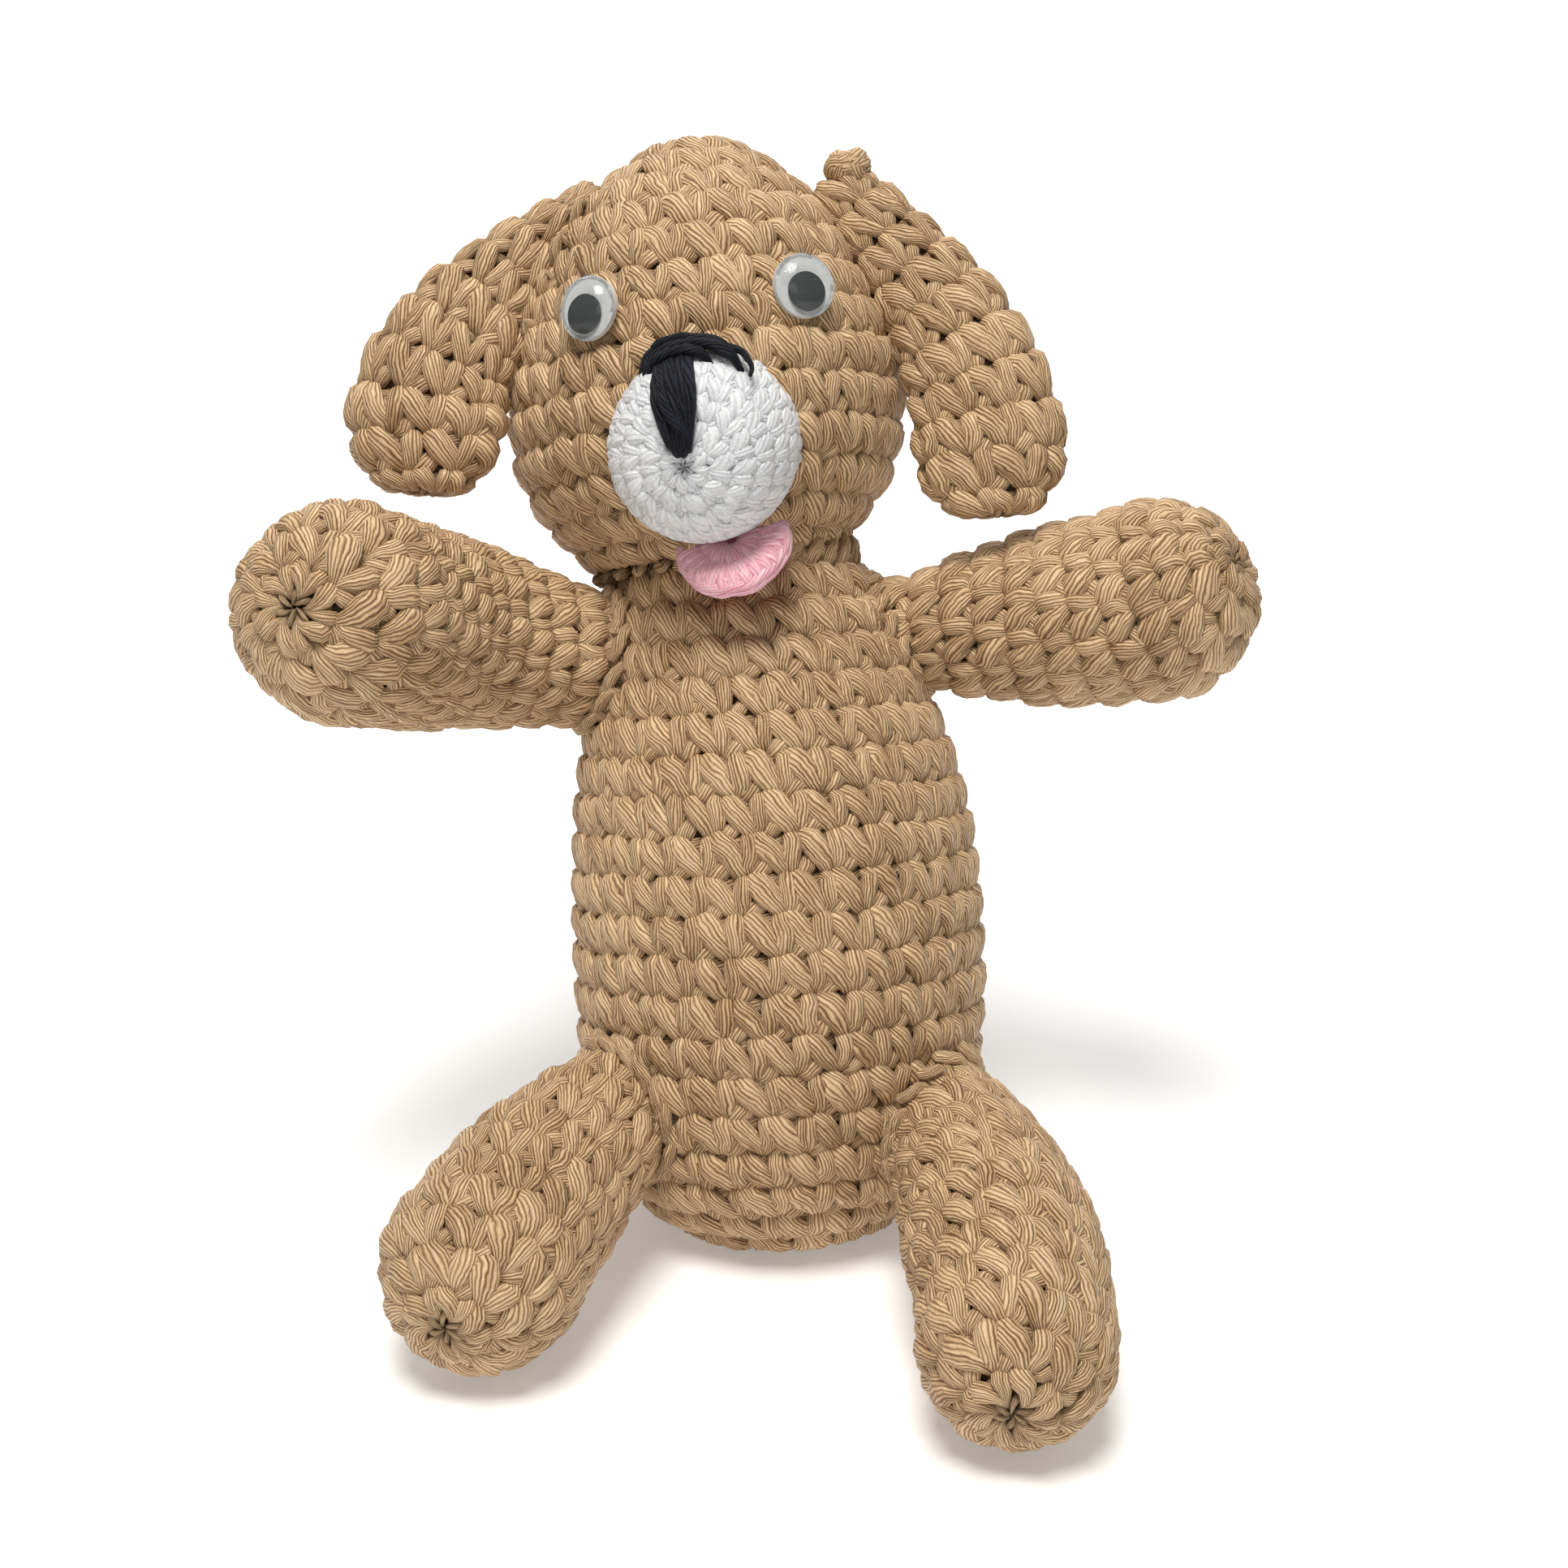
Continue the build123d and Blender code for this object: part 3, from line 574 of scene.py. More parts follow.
def plastic(name, low, high, rough, scale=900.0, bump=0.02, coat=0.0, alpha=None, transmission=0.0, ior=1.46):
    m, nt, bsdf = new_material(name)
    geo = node(nt, "ShaderNodeTexCoord")
    n = node(nt, "ShaderNodeTexNoise", Scale=scale, Detail=4.0, Roughness=0.6)
    nt.links.new(geo.outputs["Object"], n.inputs["Vector"])
    nt.links.new(ramp(nt, n.outputs[0], [(0.3, low), (0.7, high)]), bsdf.inputs["Base Color"])
    nt.links.new(math_node(nt, "MULTIPLY_ADD", n.outputs[0], 0.1, rough - 0.05), bsdf.inputs["Roughness"])
    b = node(nt, "ShaderNodeBump", Strength=0.4, Distance=bump * MM)
    nt.links.new(n.outputs[0], b.inputs["Height"])
    nt.links.new(b.outputs[0], bsdf.inputs["Normal"])
    bsdf.inputs["Coat Weight"].default_value = coat
    bsdf.inputs["Coat Roughness"].default_value = 0.08
    bsdf.inputs["Transmission Weight"].default_value = transmission
    bsdf.inputs["IOR"].default_value = ior
    return m


EYE_WHITE = plastic("eye_back_plastic", srgb(204, 207, 205), srgb(220, 222, 220), 0.45)
EYE_PUPIL = plastic("eye_pupil_plastic", srgb(20, 24, 26), srgb(34, 38, 40), 0.5, scale=260, bump=0.0, coat=0.0)
EYE_CLEAR = plastic("eye_clear_plastic", srgb(150, 154, 155), srgb(166, 170, 171), 0.08, scale=120, bump=0.0, ior=1.9)
EYE_CLEAR.node_tree.nodes["Principled BSDF"].inputs["Alpha"].default_value = 0.07
EYE_CLEAR.node_tree.nodes["Principled BSDF"].inputs["Specular IOR Level"].default_value = 1.0
GLUE = plastic("set_glue", srgb(226, 220, 200), srgb(240, 236, 222), 0.3, bump=0.05, transmission=0.4)

# ============================================================ shapes of the toy
OUT = 1.85  # from the middle of a strand to the outside of the work

LEAN = math.radians(15)


def frames_for(axes, hint):
    """Side and depth directions for rings about axes: e1 as near to hint as it can be, e2 = axis x e1."""
    axes = unit(axes)
    hint = np.broadcast_to(np.asarray(hint, float), axes.shape)
    e1 = unit(hint - axes * (hint * axes).sum(-1, keepdims=True))
    return e1, np.cross(axes, e1)


# ---- body
BODY_LIST = [(-7.4, 0), (-7, 3.5), (-6, 7.5), (-4, 13.5), (-1, 19.5), (4, 25), (10, 29), (20, 32.6), (30, 34.3), (40, 34.8), (50, 34.8), (60, 34.3),
             (70, 33.2), (80, 31.2), (90, 28.2), (98, 25.4), (105, 22.3), (109.5, 20.2), (114, 16.6), (117.5, 12.0)]
BODY_X = [(-8, 2.4), (0, 2.0), (30, 1.1), (40, 1.0), (54, 0.3), (68, -0.6), (81, -2.0), (95, -3.9), (106, -5.4), (115, -6.4)]


def inset_profile(pts, d):
    pts = np.asarray(pts, float)
    t = unit(np.gradient(pts, axis=0))
    out = pts.copy()
    out[:, 0] += t[:, 1] * d
    out[:, 1] = np.maximum(pts[:, 1] - t[:, 0] * d, 0)
    out[0, 1] = 0 if pts[0, 1] == 0 else out[0, 1]
    if pts[-1, 1] == 0:
        out[-1, 1] = 0
    return out


def body_ring_centres(s):
    x = lerp_list(s, BODY_X)
    return np.stack([x, s * math.sin(LEAN), s * math.cos(LEAN)], 1)


body_prof = inset_profile(smooth_line(BODY_LIST, 220), OUT)
_c = body_ring_centres(body_prof[:, 0])
_ax = np.broadcast_to(unit([-0.0524, math.sin(LEAN), math.cos(LEAN)]), _c.shape)
_e1, _e2 = frames_for(_ax, (1, 0, 0))
FLOOR = OUT - 0.12


def seat_flat(grid):
    z = grid[..., 2]
    soft = FLOOR + np.logaddexp(0, (z - FLOOR) / 0.8) * 0.8
    grid = grid.copy()
    grid[..., 2] = soft
    return grid


BODY = Skin(_c, _e1, _e2, body_prof[:, 1], body_prof[:, 1], 6.15, shape=seat_flat)


def body_inside(p):
    """How deep p lies below the middle surface of the body's work, in mm."""
    d = np.array([-0.0524, math.sin(LEAN), math.cos(LEAN)])
    d = d / np.linalg.norm(d)
    s = (p[..., 2] * math.cos(LEAN) + p[..., 1] * math.sin(LEAN))
    c = np.stack([lerp_list(s, BODY_X), s * math.sin(LEAN), s * math.cos(LEAN)], -1)
    off = p - c
    rad = np.linalg.norm(off - d * (off @ d)[..., None], axis=-1)
    return np.interp(s, body_prof[:, 0], body_prof[:, 1]) - rad


# ---- head
HEAD_LIST = [(108.2, 16.5), (109, 20.2), (112, 23.4), (117.8, 28.3), (125, 31.8), (131, 32.8), (138, 32.9), (146, 31.2), (152, 28.9), (159, 26),
             (166, 21.5), (172, 15.5), (176, 10), (178.7, 4), (179.4, 0)]
HEAD_ROLL = math.tan(math.radians(3.5))
HEAD_ROWROLL = math.tan(math.radians(5.5))


def head_centres(s):
    return np.stack([-11.6 - (s - 140) * HEAD_ROLL, s * math.sin(LEAN), s * math.cos(LEAN)], 1)


head_prof = inset_profile(smooth_line(HEAD_LIST, 200), 1.4)
_c = head_centres(head_prof[:, 0])
_ax = np.broadcast_to(unit([-HEAD_ROWROLL, math.sin(LEAN), math.cos(LEAN)]), _c.shape)
_e1, _e2 = frames_for(_ax, (1, 0, 0))
HEAD = Skin(_c, _e1, _e2, head_prof[:, 1], head_prof[:, 1], 6.2, pole_end=True)


def head_inside(p):
    s = (p[..., 2] * math.cos(LEAN) + p[..., 1] * math.sin(LEAN))
    c = np.stack([-11.6 - (s - 140) * HEAD_ROLL, s * math.sin(LEAN), s * math.cos(LEAN)], -1)
    rad = np.linalg.norm(p - c, axis=-1)
    return np.interp(s, head_prof[:, 0], head_prof[:, 1], left=-9, right=-9) - rad


# ---- camera, which the limbs' magic rings are placed by
CAM = np.array([1.5, -305.0, 173.0])
PITCH = math.radians(17.66)
FWD = np.array([0, math.cos(PITCH), -math.sin(PITCH)])
UPV = np.array([0, math.sin(PITCH), math.cos(PITCH)])
FOCAL = 2500.0


def ray(px, py):
    return unit(FWD + np.array([1.0, 0, 0]) * (px - 966) / FOCAL - UPV * (py - 966) / FOCAL)


def pole_on_ball(centre, radius, px, py):
    """Direction from a limb's end ball to the spot on it that shows at a picture point."""
    d = ray(px, py)
    oc = CAM - centre
    b = oc @ d
    disc = b * b - (oc @ oc - radius ** 2)
    t = -b - math.sqrt(max(disc, 0.0))
    return unit(CAM + d * t - centre)


def bezier3(pts, t):
    p0, p1, p2 = [np.asarray(p, float) for p in pts]
    t = np.asarray(t, float)[:, None]
    return p0 * (1 - t) ** 2 + p1 * 2 * t * (1 - t) + p2 * t * t


def bezier4(pts, t):
    p0, p1, p2, p3 = [np.asarray(p, float) for p in pts]
    t = np.asarray(t, float)[:, None]
    return p0 * (1 - t) ** 3 + p1 * 3 * t * (1 - t) ** 2 + p2 * 3 * t * t * (1 - t) + p3 * t ** 3


def limb_skin(line, radii, pole, row, lumps):
    """A club-shaped limb worked from the ring at its tip to its root."""
    t = np.linspace(1, -0.10, 120)
    mid = bezier3(line, np.clip(t, 0, 1))
    start = np.asarray(line[0], float)
    way0 = unit(np.asarray(line[1], float) - start)
    length = np.linalg.norm(np.diff(bezier3(line, np.linspace(0, 1, 60)), axis=0), axis=1).sum()
    over = np.minimum(t, 0)[:, None] * length
    mid = mid + way0 * over
    r = lerp_list(np.clip(t, 0, 1), radii) - OUT
    tan = -unit(np.gradient(mid, axis=0))
    tip_dir = tan[0]
    end, big = mid[0], r[0]
    # cap: the pole leans over to where the ring shows, and leans back along the limb
    phi = np.linspace(0, math.pi / 2, 60)
    along = np.concatenate([[0], np.cumsum(np.linalg.norm(np.diff(mid, axis=0), axis=1))])
    reach = big * math.pi / 2
    total = reach + 0.45 * length
    f_cap = smoothstep(phi * big / total)
    f_tube = smoothstep((reach + along) / total)
    ax_cap = slerp(pole, tip_dir, f_cap)
    c_cap = end + ax_cap * (big * np.cos(phi))[:, None]
    r_cap = big * np.sin(phi)
    ax_tube = np.empty_like(mid)
    for i in range(len(mid)):
        # how far the ring's tilt has come back by here, measured against this place's own direction
        ax_tube[i] = slerp(pole, tan[i], np.array([f_tube[i]]))[0]
    tilt = np.clip((ax_tube * tan).sum(1), 0.75, 1)
    centres = np.concatenate([c_cap, mid[1:]])
    axes = -np.concatenate([ax_cap, ax_tube[1:]])
    rad = np.concatenate([r_cap, r[1:]])
    hint = unit(np.cross(tip_dir, (0.13, 0.2, 1.0)))
    e1, e2 = frames_for(axes, hint)
    # both half-widths of each ring are its radius
    rings_a = rad.copy()
    rings_b = rad.copy()
    k0 = len(c_cap)
    lean_dir = unit(tan[0:1] - 0)[0]
    skin = Skin(centres, e1, e2, rings_a, rings_b, row, shape=lumps)
    skin.tip = np.asarray(line[2], float)
    return skin


def lumps_of(amount, scale, seed):
    def shape(grid):
        mid = grid.mean(1, keepdims=True)
        out = unit(grid - mid)
        return grid + out * (soft_noise(grid + seed * 17.3, scale) * amount)[..., None]
    return shape


ARM_R_LINE, ARM_R_RAD = [(-20, 21, 89.5), (-55.5, 13, 97.5), (-63.0, -12, 106)], [(0, 9.5), (0.2, 12.4), (0.4, 14.4), (0.65, 16.4), (1, 17.4)]
ARM_L_LINE, ARM_L_RAD = [(12, 25, 94.0), (38, 21, 96.5), (61.3, 15, 102.0)], [(0, 8.0), (0.2, 9.6), (0.4, 12.8), (0.65, 15.6), (1, 16.9)]
LEG_R_LINE, LEG_R_RAD = [(-16, -1, 29), (-34.0, -23, 22.5), (-42.4, -43.5, 16.3)], [(0, 8.0), (0.2, 10.4), (0.45, 13.2), (0.7, 15.0), (1, 16.0)]
LEG_L_LINE, LEG_L_RAD = [(20, -1, 27), (36.0, -26, 21), (33.4, -62, 14.6)], [(0, 7.6), (0.2, 10.2), (0.45, 13.2), (0.7, 15.2), (1, 14.6)]

LIMBS = {}
for key, line, radii, mark, row, seed in (
        ("arm_right", ARM_R_LINE, ARM_R_RAD, (353, 747), 6.0, 1), ("arm_left", ARM_L_LINE, ARM_L_RAD, (1536, 686), 5.9, 2),
        ("leg_right", LEG_R_LINE, LEG_R_RAD, (541, 1649), 6.0, 3), ("leg_left", LEG_L_LINE, LEG_L_RAD, (1247, 1757), 6.0, 4)):
    end = np.asarray(line[2], float)
    pole = pole_on_ball(end, radii[-1][1], *mark)
    LIMBS[key] = limb_skin(line, radii, pole, row, lumps_of(0.45, 14.0, seed))
    tip = unit(np.asarray(line[2], float) - np.asarray(line[1], float))
    print("limb", key, "rows", LIMBS[key].rows, "ring leans", round(math.degrees(math.acos(float(np.clip(pole @ tip, -1, 1)))), 1), "deg")

# ---- ears
EAR_R_LINE = [(-28, 38, 162), (-40, 31, 154), (-54.6, 26, 143.5), (-55.2, 20, 129.5)]
EAR_L_LINE = [(9, 38, 165.5), (19.4, 32, 157.5), (33, 26, 142), (34.5, 20, 126)]
EAR_W = {"ear_right": [(0, 5.8), (0.3, 8.0), (0.6, 11.2), (1, 13.6)], "ear_left": [(0, 6.2), (0.3, 8.0), (0.6, 10.8), (1, 13.4)]}
EAR_T = [(0, 5.0), (0.3, 5.4), (0.6, 6.0), (1, 6.6)]
EAR_CAP = [(11.4, 0.0, 0.0), (11.2, 3.0, 1.8), (10.4, 6.6, 3.4), (8.4, 9.6, 4.8), (5.2, 11.8, 5.7), (2.4, 12.6, 6.1)]


def ear_skin(key, line, row, lumps):
    t = np.linspace(1, 0, 90)
    mid = bezier4(line, t)
    way = -unit(np.gradient(mid, axis=0))
    w = lerp_list(t, EAR_W[key]) - OUT
    h = lerp_list(t, EAR_T) - OUT
    cap = smooth_line([(s, max(a - OUT * 0.9, 0) if a else 0, max(b - OUT * 0.9, 0) if b else 0) for s, a, b in EAR_CAP] + [(0, w[0], h[0])], 40)[:-1]
    centres = np.concatenate([mid[0] + way[0] * cap[:, :1], mid])
    axes = -np.concatenate([np.broadcast_to(way[0], (len(cap), 3)), way])
    a, b = np.concatenate([cap[:, 1], w]), np.concatenate([cap[:, 2], h])
    wide = unit(np.cross((0, 1, 0), -axes))
    e1 = wide
    e2 = np.cross(axes, e1)
    return Skin(centres, e1, e2, a, b, row, power=2.25, shape=lumps)


EARS = {"ear_right": ear_skin("ear_right", EAR_R_LINE, 6.5, lumps_of(0.45, 12.0, 6)), "ear_left": ear_skin("ear_left", EAR_L_LINE, 6.5, lumps_of(0.45, 12.0, 7))}

# ---- muzzle
MUZ_O = np.array([-10.5, 3.5, 128.7])
MUZ_DIR = unit([-0.095, -0.994, -0.05])
MUZ_LIST = [(13.5, 0), (13.3, 2.4), (12.6, 5.6), (10.6, 10.2), (6.9, 13.1), (2.4, 14.3), (-1.5, 14.4), (-5.2, 14.3)]
muz_prof = inset_profile([(a, b) for a, b in smooth_line(MUZ_LIST, 90)], -0.85)
_c = MUZ_O + MUZ_DIR * muz_prof[:, :1]
_ax = np.broadcast_to(-MUZ_DIR, _c.shape)
_e1, _e2 = frames_for(_ax, (1, 0, 0))
# the ring of the muzzle sits a little below and left of its middle
slide = np.interp(muz_prof[:, 0], [-7, 3, 10, 13.6], [0, 0, 0.8, 1.0])[:, None]
_c = _c + slide * np.array([-1.5, 0, -0.9])
MUZZLE = Skin(_c, _e1, _e2, muz_prof[:, 1], muz_prof[:, 1], 3.25, shape=lumps_of(0.2, 7.0, 8))

print("rows", "body", BODY.rows, "head", HEAD.rows, "ears", EARS["ear_right"].rows, EARS["ear_left"].rows, "muzzle", MUZZLE.rows)

# ============================================================== moves on meshes


def floor_clear(co):
    co = co.copy()
    z = co[:, 2]
    co[:, 2] = np.where(z < 1.2, 0.04 + np.logaddexp(0, (z - 0.04) / 0.25) * 0.25, z)
    return co


EYES = {
    "right": (np.array([-27.85, 10.56, 148.23]), np.array([-0.509391, -0.815196, 0.275637])),
    "left": (np.array([4.28, 12.45, 151.39]), np.array([0.38683, -0.868833, 0.309017])),
}


def press_eyes(co):
    """Yarn under a glued eye is pressed down behind its flat back."""
    co = co.copy()
    for o, n in EYES.values():
        off = co - o
        h = off @ n
        rad = np.linalg.norm(off - h[:, None] * n, axis=1)
        room = -0.12 - np.maximum(0.0, 0.0)
        lid = room + np.maximum(rad - 5.0, 0) ** 1.5 * 0.9
        hit = (h > lid) & (h < 6) & (rad < 7.5)
        co[hit] -= (h[hit] - lid[hit])[:, None] * n
    return co


# ============================================================= joins and filling


def press_muzzle(co):
    """Strands that stand proud of the muzzle's surface come in to lie along it."""
    d = co - MUZ_O
    s = d @ MUZ_DIR
    off = d - MUZ_DIR * s[:, None] - np.interp(s, [-7, 3, 10, 13.6], [0, 0, 0.8, 1.0])[:, None] * np.array([-1.5, 0, -0.9])
    r = np.linalg.norm(off, axis=1)
    q = np.stack([s, r], 1)
    tang = unit(np.gradient(muz_prof, axis=0))
    out2 = np.stack([tang[:, 1], -tang[:, 0]], 1)
    k = np.concatenate([np.linalg.norm(part[:, None] - muz_prof[None], axis=2).argmin(1) for part in np.array_split(q, 8)])
    h = ((q - muz_prof[k]) * out2[k]).sum(1)
    move = np.where(h > MUZ_CAP, (h - MUZ_CAP) * -0.7, 0.0)
    return co + MUZ_DIR * (move * out2[k, 0])[:, None] + off / np.maximum(r, 1e-6)[:, None] * (move * out2[k, 1])[:, None]


MUZ_CAP = 0.85


def outward(inside, p):
    g = np.stack([inside(p + e) - inside(p - e) for e in np.eye(3) * 0.4], -1)
    return -unit(g)


def whip(yarn, skin, inside, count, rng, half, span=0.4, reach=2.6, rise=1.1, slant=0.5, v_from=1.0, sides=12, u_ok=None):
    """Sewing stitches over the line where one skin runs into another."""
    u = (np.arange(count) + rng.uniform(-0.2, 0.2, count)) / count
    v = np.linspace(v_from, skin.rows - 0.05, 120)
    p, _ = skin.at(u[:, None] + 0 * v[None], v[None] + 0 * u[:, None])
    deep = inside(p)
    crosses = (deep[:, :-1] <= 0) & (deep[:, 1:] > 0)
    has = crosses.any(1)
    k = crosses.argmax(1)
    i = np.arange(count)
    f = -deep[i, k] / np.maximum(deep[i, k + 1] - deep[i, k], 1e-9)
    v0 = v[k] + f * (v[1] - v[0])
    keep = has
    u, v0 = u[keep], v0[keep]
    step = slant / count
    a, na = skin.at(u + step, v0 - span)
    b0, nb0 = skin.at(u - step, v0)
    out_b = outward(inside, b0)
    away = unit(nb0 - (nb0 * out_b).sum(1, keepdims=True) * out_b)
    b = b0 + away * reach
    out_b = outward(inside, b)
    b = b + out_b * inside(b)[:, None]
    tip, _ = skin.at(u + step, v0 - span - 0.25)
    m = (a + b) / 2
    nm = unit(na + out_b)
    ctrl = np.stack([tip - na * 2.0, a + na * rise, m + nm * (rise + 0.35), b + out_b * rise, b + away * 0.9 - out_b * 2.0], 1)
    ctrl = ctrl + rng.uniform(-0.15, 0.15, ctrl.shape)
    nrm = np.stack([na, na, nm, out_b, out_b], 1)
    path = catmull(ctrl, 9)
    nrm = unit(catmull(nrm, 9))
    width = np.interp(np.linspace(0, 1, 9), [0, 0.25, 0.5, 0.75, 1], [0.7, 1, 1.08, 1, 0.7])[None] * half * rng.uniform(0.9, 1.1, (len(u), 1))
    tubes = sweep(path, nrm, width, width * 0.85, sides, rng)
    # painted shade: the ends, which go in under the work, get depth so that the yarn material darkens them
    yarn.strands(tubes, rng.random(len(u)), np.broadcast_to(np.interp(np.linspace(0, 1, 9), [0, 0.2, 0.8, 1], [-1.6, 0, 0, -1.6]), (len(u), 9)), path)


def add_rope(yarn, points, half, centre, rng, n=24, sides=14, flat=0.9, twist=1.0, taper=None, depth=0.0):
    line = smooth_line(points, n)[None]
    nrm = unit(line - np.asarray(centre, float)[None, None])
    h = np.full((1, n), float(half))
    if taper is not None:
        h = h * np.interp(np.linspace(0, 1, n), [t[0] for t in taper], [t[1] for t in taper])[None]
    tubes = sweep(line, nrm, h, h * flat, sides, rng, twist=twist)
    yarn.strands(tubes, rng.random(1), np.full((1, n), float(depth)), line)


def filling_of(skin, depth, seed, around=72, v0=0.25, v1=-0.1):
    """Loose fibre packed under a skin: a lumpy closed grid."""
    v = np.linspace(v0, skin.rows + v1, skin.rows * 6)
    u = np.arange(around) / around
    p, n = skin.at(u[None, :] + 0 * v[:, None], v[:, None] + 0 * u[None, :])
    g = p - n * depth
    lump = soft_noise(g + seed * 9.1, 5.0) * 0.3 + soft_noise(g + seed * 5.7, 2.2) * 0.2
    return g + n * lump[..., None]


# ============================================================== making the work
rng = np.random.default_rng(771)
made = {}

BODY_PARTS = ("seat", "belly", "chest", "shoulders")
BODY_SPLIT = (0, 7, 12, 17, BODY.rows)
for part, (a, b) in zip(BODY_PARTS, zip(BODY_SPLIT[:-1], BODY_SPLIT[1:])):
    y = Yarn()
    crochet(y, BODY, 6.65, np.random.default_rng(100 + a), first=a, last=b)
    y.backing(backing_of(BODY, 1.5, v0=a, v1=b if b < BODY.rows else b))
    made["body_crochet_" + part] = y.build("body_crochet_" + part, (floor_clear,))

HEAD_SPLIT = (0, 6, HEAD.rows)
for part, (a, b) in zip(("lower", "upper"), zip(HEAD_SPLIT[:-1], HEAD_SPLIT[1:])):
    y = Yarn()

    def under_muzzle(q):
        off = q - MUZ_O
        h = off @ MUZ_DIR
        return (np.linalg.norm(off - h[:, None] * MUZ_DIR, axis=1) < 9.5) & (h > -12)

    crochet(y, HEAD, 6.65, np.random.default_rng(200 + a), first=a, last=b, drop=under_muzzle)
    y.backing(backing_of(HEAD, 1.5, v0=a, v1=b))
    made["head_crochet_" + part] = y.build("head_crochet_" + part, (press_eyes,))

for key, skin in LIMBS.items():
    y = Yarn()
    crochet(y, skin, 6.5, np.random.default_rng(300 + len(made)), sides=(18, 16, 12, 10))
    y.backing(backing_of(skin, 1.5))
    made[key + "_crochet"] = y.build(key + "_crochet", (floor_clear,))

for key, skin in EARS.items():
    y = Yarn()
    crochet(y, skin, 6.3, np.random.default_rng(400 + len(made)))
    y.backing(backing_of(skin, 1.5))
    made[key + "_crochet"] = y.build(key + "_crochet")

# ---- muzzle, with a few finer strands on top of it behind the nose
MUZ_Y = unit(np.array([0, 0, 1.0]) - MUZ_DIR * MUZ_DIR[2])
MUZ_X = np.cross(MUZ_Y, MUZ_DIR)


def on_muzzle(s, r, deg):
    a = math.radians(deg)
    return MUZ_O + MUZ_DIR * s + (MUZ_X * math.sin(a) + MUZ_Y * math.cos(a)) * r


def front(x, yy, lift):
    """A spot over the front of the muzzle, x across and yy up from its middle, lift mm above it."""
    r = math.hypot(x, yy)
    prof = sorted((b_, a_) for a_, b_ in MUZ_LIST[:6])
    h = float(np.interp(r, [q[0] for q in prof], [q[1] for q in prof]))
    if r > 14.3:
        h = 2.4 - (r - 14.3) * 4
    return MUZ_O + MUZ_X * x + MUZ_Y * yy + MUZ_DIR * (h + lift)


muz_mid = MUZ_O - MUZ_DIR * 2
y = Yarn()
crochet(y, MUZZLE, 3.6, np.random.default_rng(500), size=0.57, slant=0.9, fat=1.16, jitter=0.32, sides=(14, 12, 10, 8), steps=(9, 9, 6, 6))
y.backing(backing_of(MUZZLE, 0.75))
r5 = np.random.default_rng(501)
for a0, a1, ss, rr in ((4, 21, -0.6, 16.0), (8, 24, 0.8, 16.3), (-18, -6, -0.8, 15.7)):
    add_rope(y, [on_muzzle(ss + (k == 0 or k == 4) * 0.2, rr - (2.2 if k in (0, 4) else 0), a0 + (a1 - a0) * k / 4) for k in range(5)], 0.85, muz_mid, r5, n=14, sides=12)
made["muzzle_crochet"] = y.build("muzzle_crochet", (press_muzzle,))

# ---- nose: a bar of black strands down the front, and a cap of them over the top
y = Yarn()
r6 = np.random.default_rng(510)
ys = [15.2, 13.6, 11.0, 8.4, 6.0, 4.0, 2.4, 1.0]
for k in range(5):
    f = k / 4
    pts = []
    for yy in ys:
        left = np.interp(yy, [1.0, 2.4, 4.0, 8.4, 13.4, 15.2], [-2.9, -3.2, -3.8, -5.0, -6.2, -6.4])
        right = np.interp(yy, [1.0, 2.4, 6.0, 9.0, 13.6, 15.2], [-0.9, -0.6, -0.3, -0.5, -1.6, -2.2])
        stop = [2.6, 1.9, 1.5, 1.8, 2.3][k]
        y2 = max(yy, stop - 0.9)
        x = left + (right - left) * (f + 0.07 * math.sin(yy * 0.55 + k * 2.1))
        lift = 0.95 + 0.18 * (k % 2) + (0.35 if k == 2 else 0) - max(0, stop - yy) * 1.7 - max(0, yy - 14) * 1.2
        pts.append(front(x, y2, lift))
    add_rope(y, pts, 0.98, muz_mid, r6, n=34, sides=14, twist=1.6, taper=[(0, 0.75), (0.12, 1), (0.85, 0.95), (1, 0.55)])
add_rope(y, [front(-5.4, 13.0, 1.6), front(-4.6, 9.6, 2.2), front(-2.9, 6.6, 2.2), front(-1.3, 4.6, 1.9), front(-0.8, 3.0, 0.9)], 0.8, muz_mid, r6, n=22, twist=1.6,
         taper=[(0, 0.6), (0.2, 1), (0.8, 1), (1, 0.5)])
made["nose_line_yarn"] = y.build("nose_line_yarn")

y = Yarn()
r7 = np.random.default_rng(520)
for a0, a1, s0, s1, rr, half, lift in ((-42, 22, 0.6, 1.4, 15.5, 0.95, 0.5), (-41, 25, 2.1, 2.7, 15.5, 1.0, 0.7), (-38, 28, 3.6, 4.2, 15.25, 1.0, 0.5), (-34, 8, 5.0, 5.2, 14.9, 0.95, 0.2),
                                       (-30, 2, 2.9, 3.0, 16.5, 0.85, 0.2)):
    pts = []
    for k in range(8):
        f = k / 7
        sink = 2.0 if k in (0, 7) else 0.5 if k in (1, 6) else 0
        pts.append(on_muzzle(s0 + (s1 - s0) * f + 0.25 * math.sin(k * 1.9 + s0), rr + lift * math.sin(f * math.pi) - sink, a0 + (a1 - a0) * f))
    add_rope(y, pts, half, muz_mid, r7, n=30, twist=1.6, taper=[(0, 0.7), (0.12, 1), (0.8, 0.92), (1, 0.55)])
add_rope(y, [on_muzzle(2.6, 15.6, 14), on_muzzle(3.6, 15.9, 22), on_muzzle(4.8, 15.5, 28), on_muzzle(6.2, 14.9, 32.5), on_muzzle(7.2, 14.0, 34)], 0.55, muz_mid, r7, n=18, twist=1.2,
         taper=[(0, 1.3), (0.5, 1), (1, 0.5)])
made["nose_top_yarn"] = y.build("nose_top_yarn")

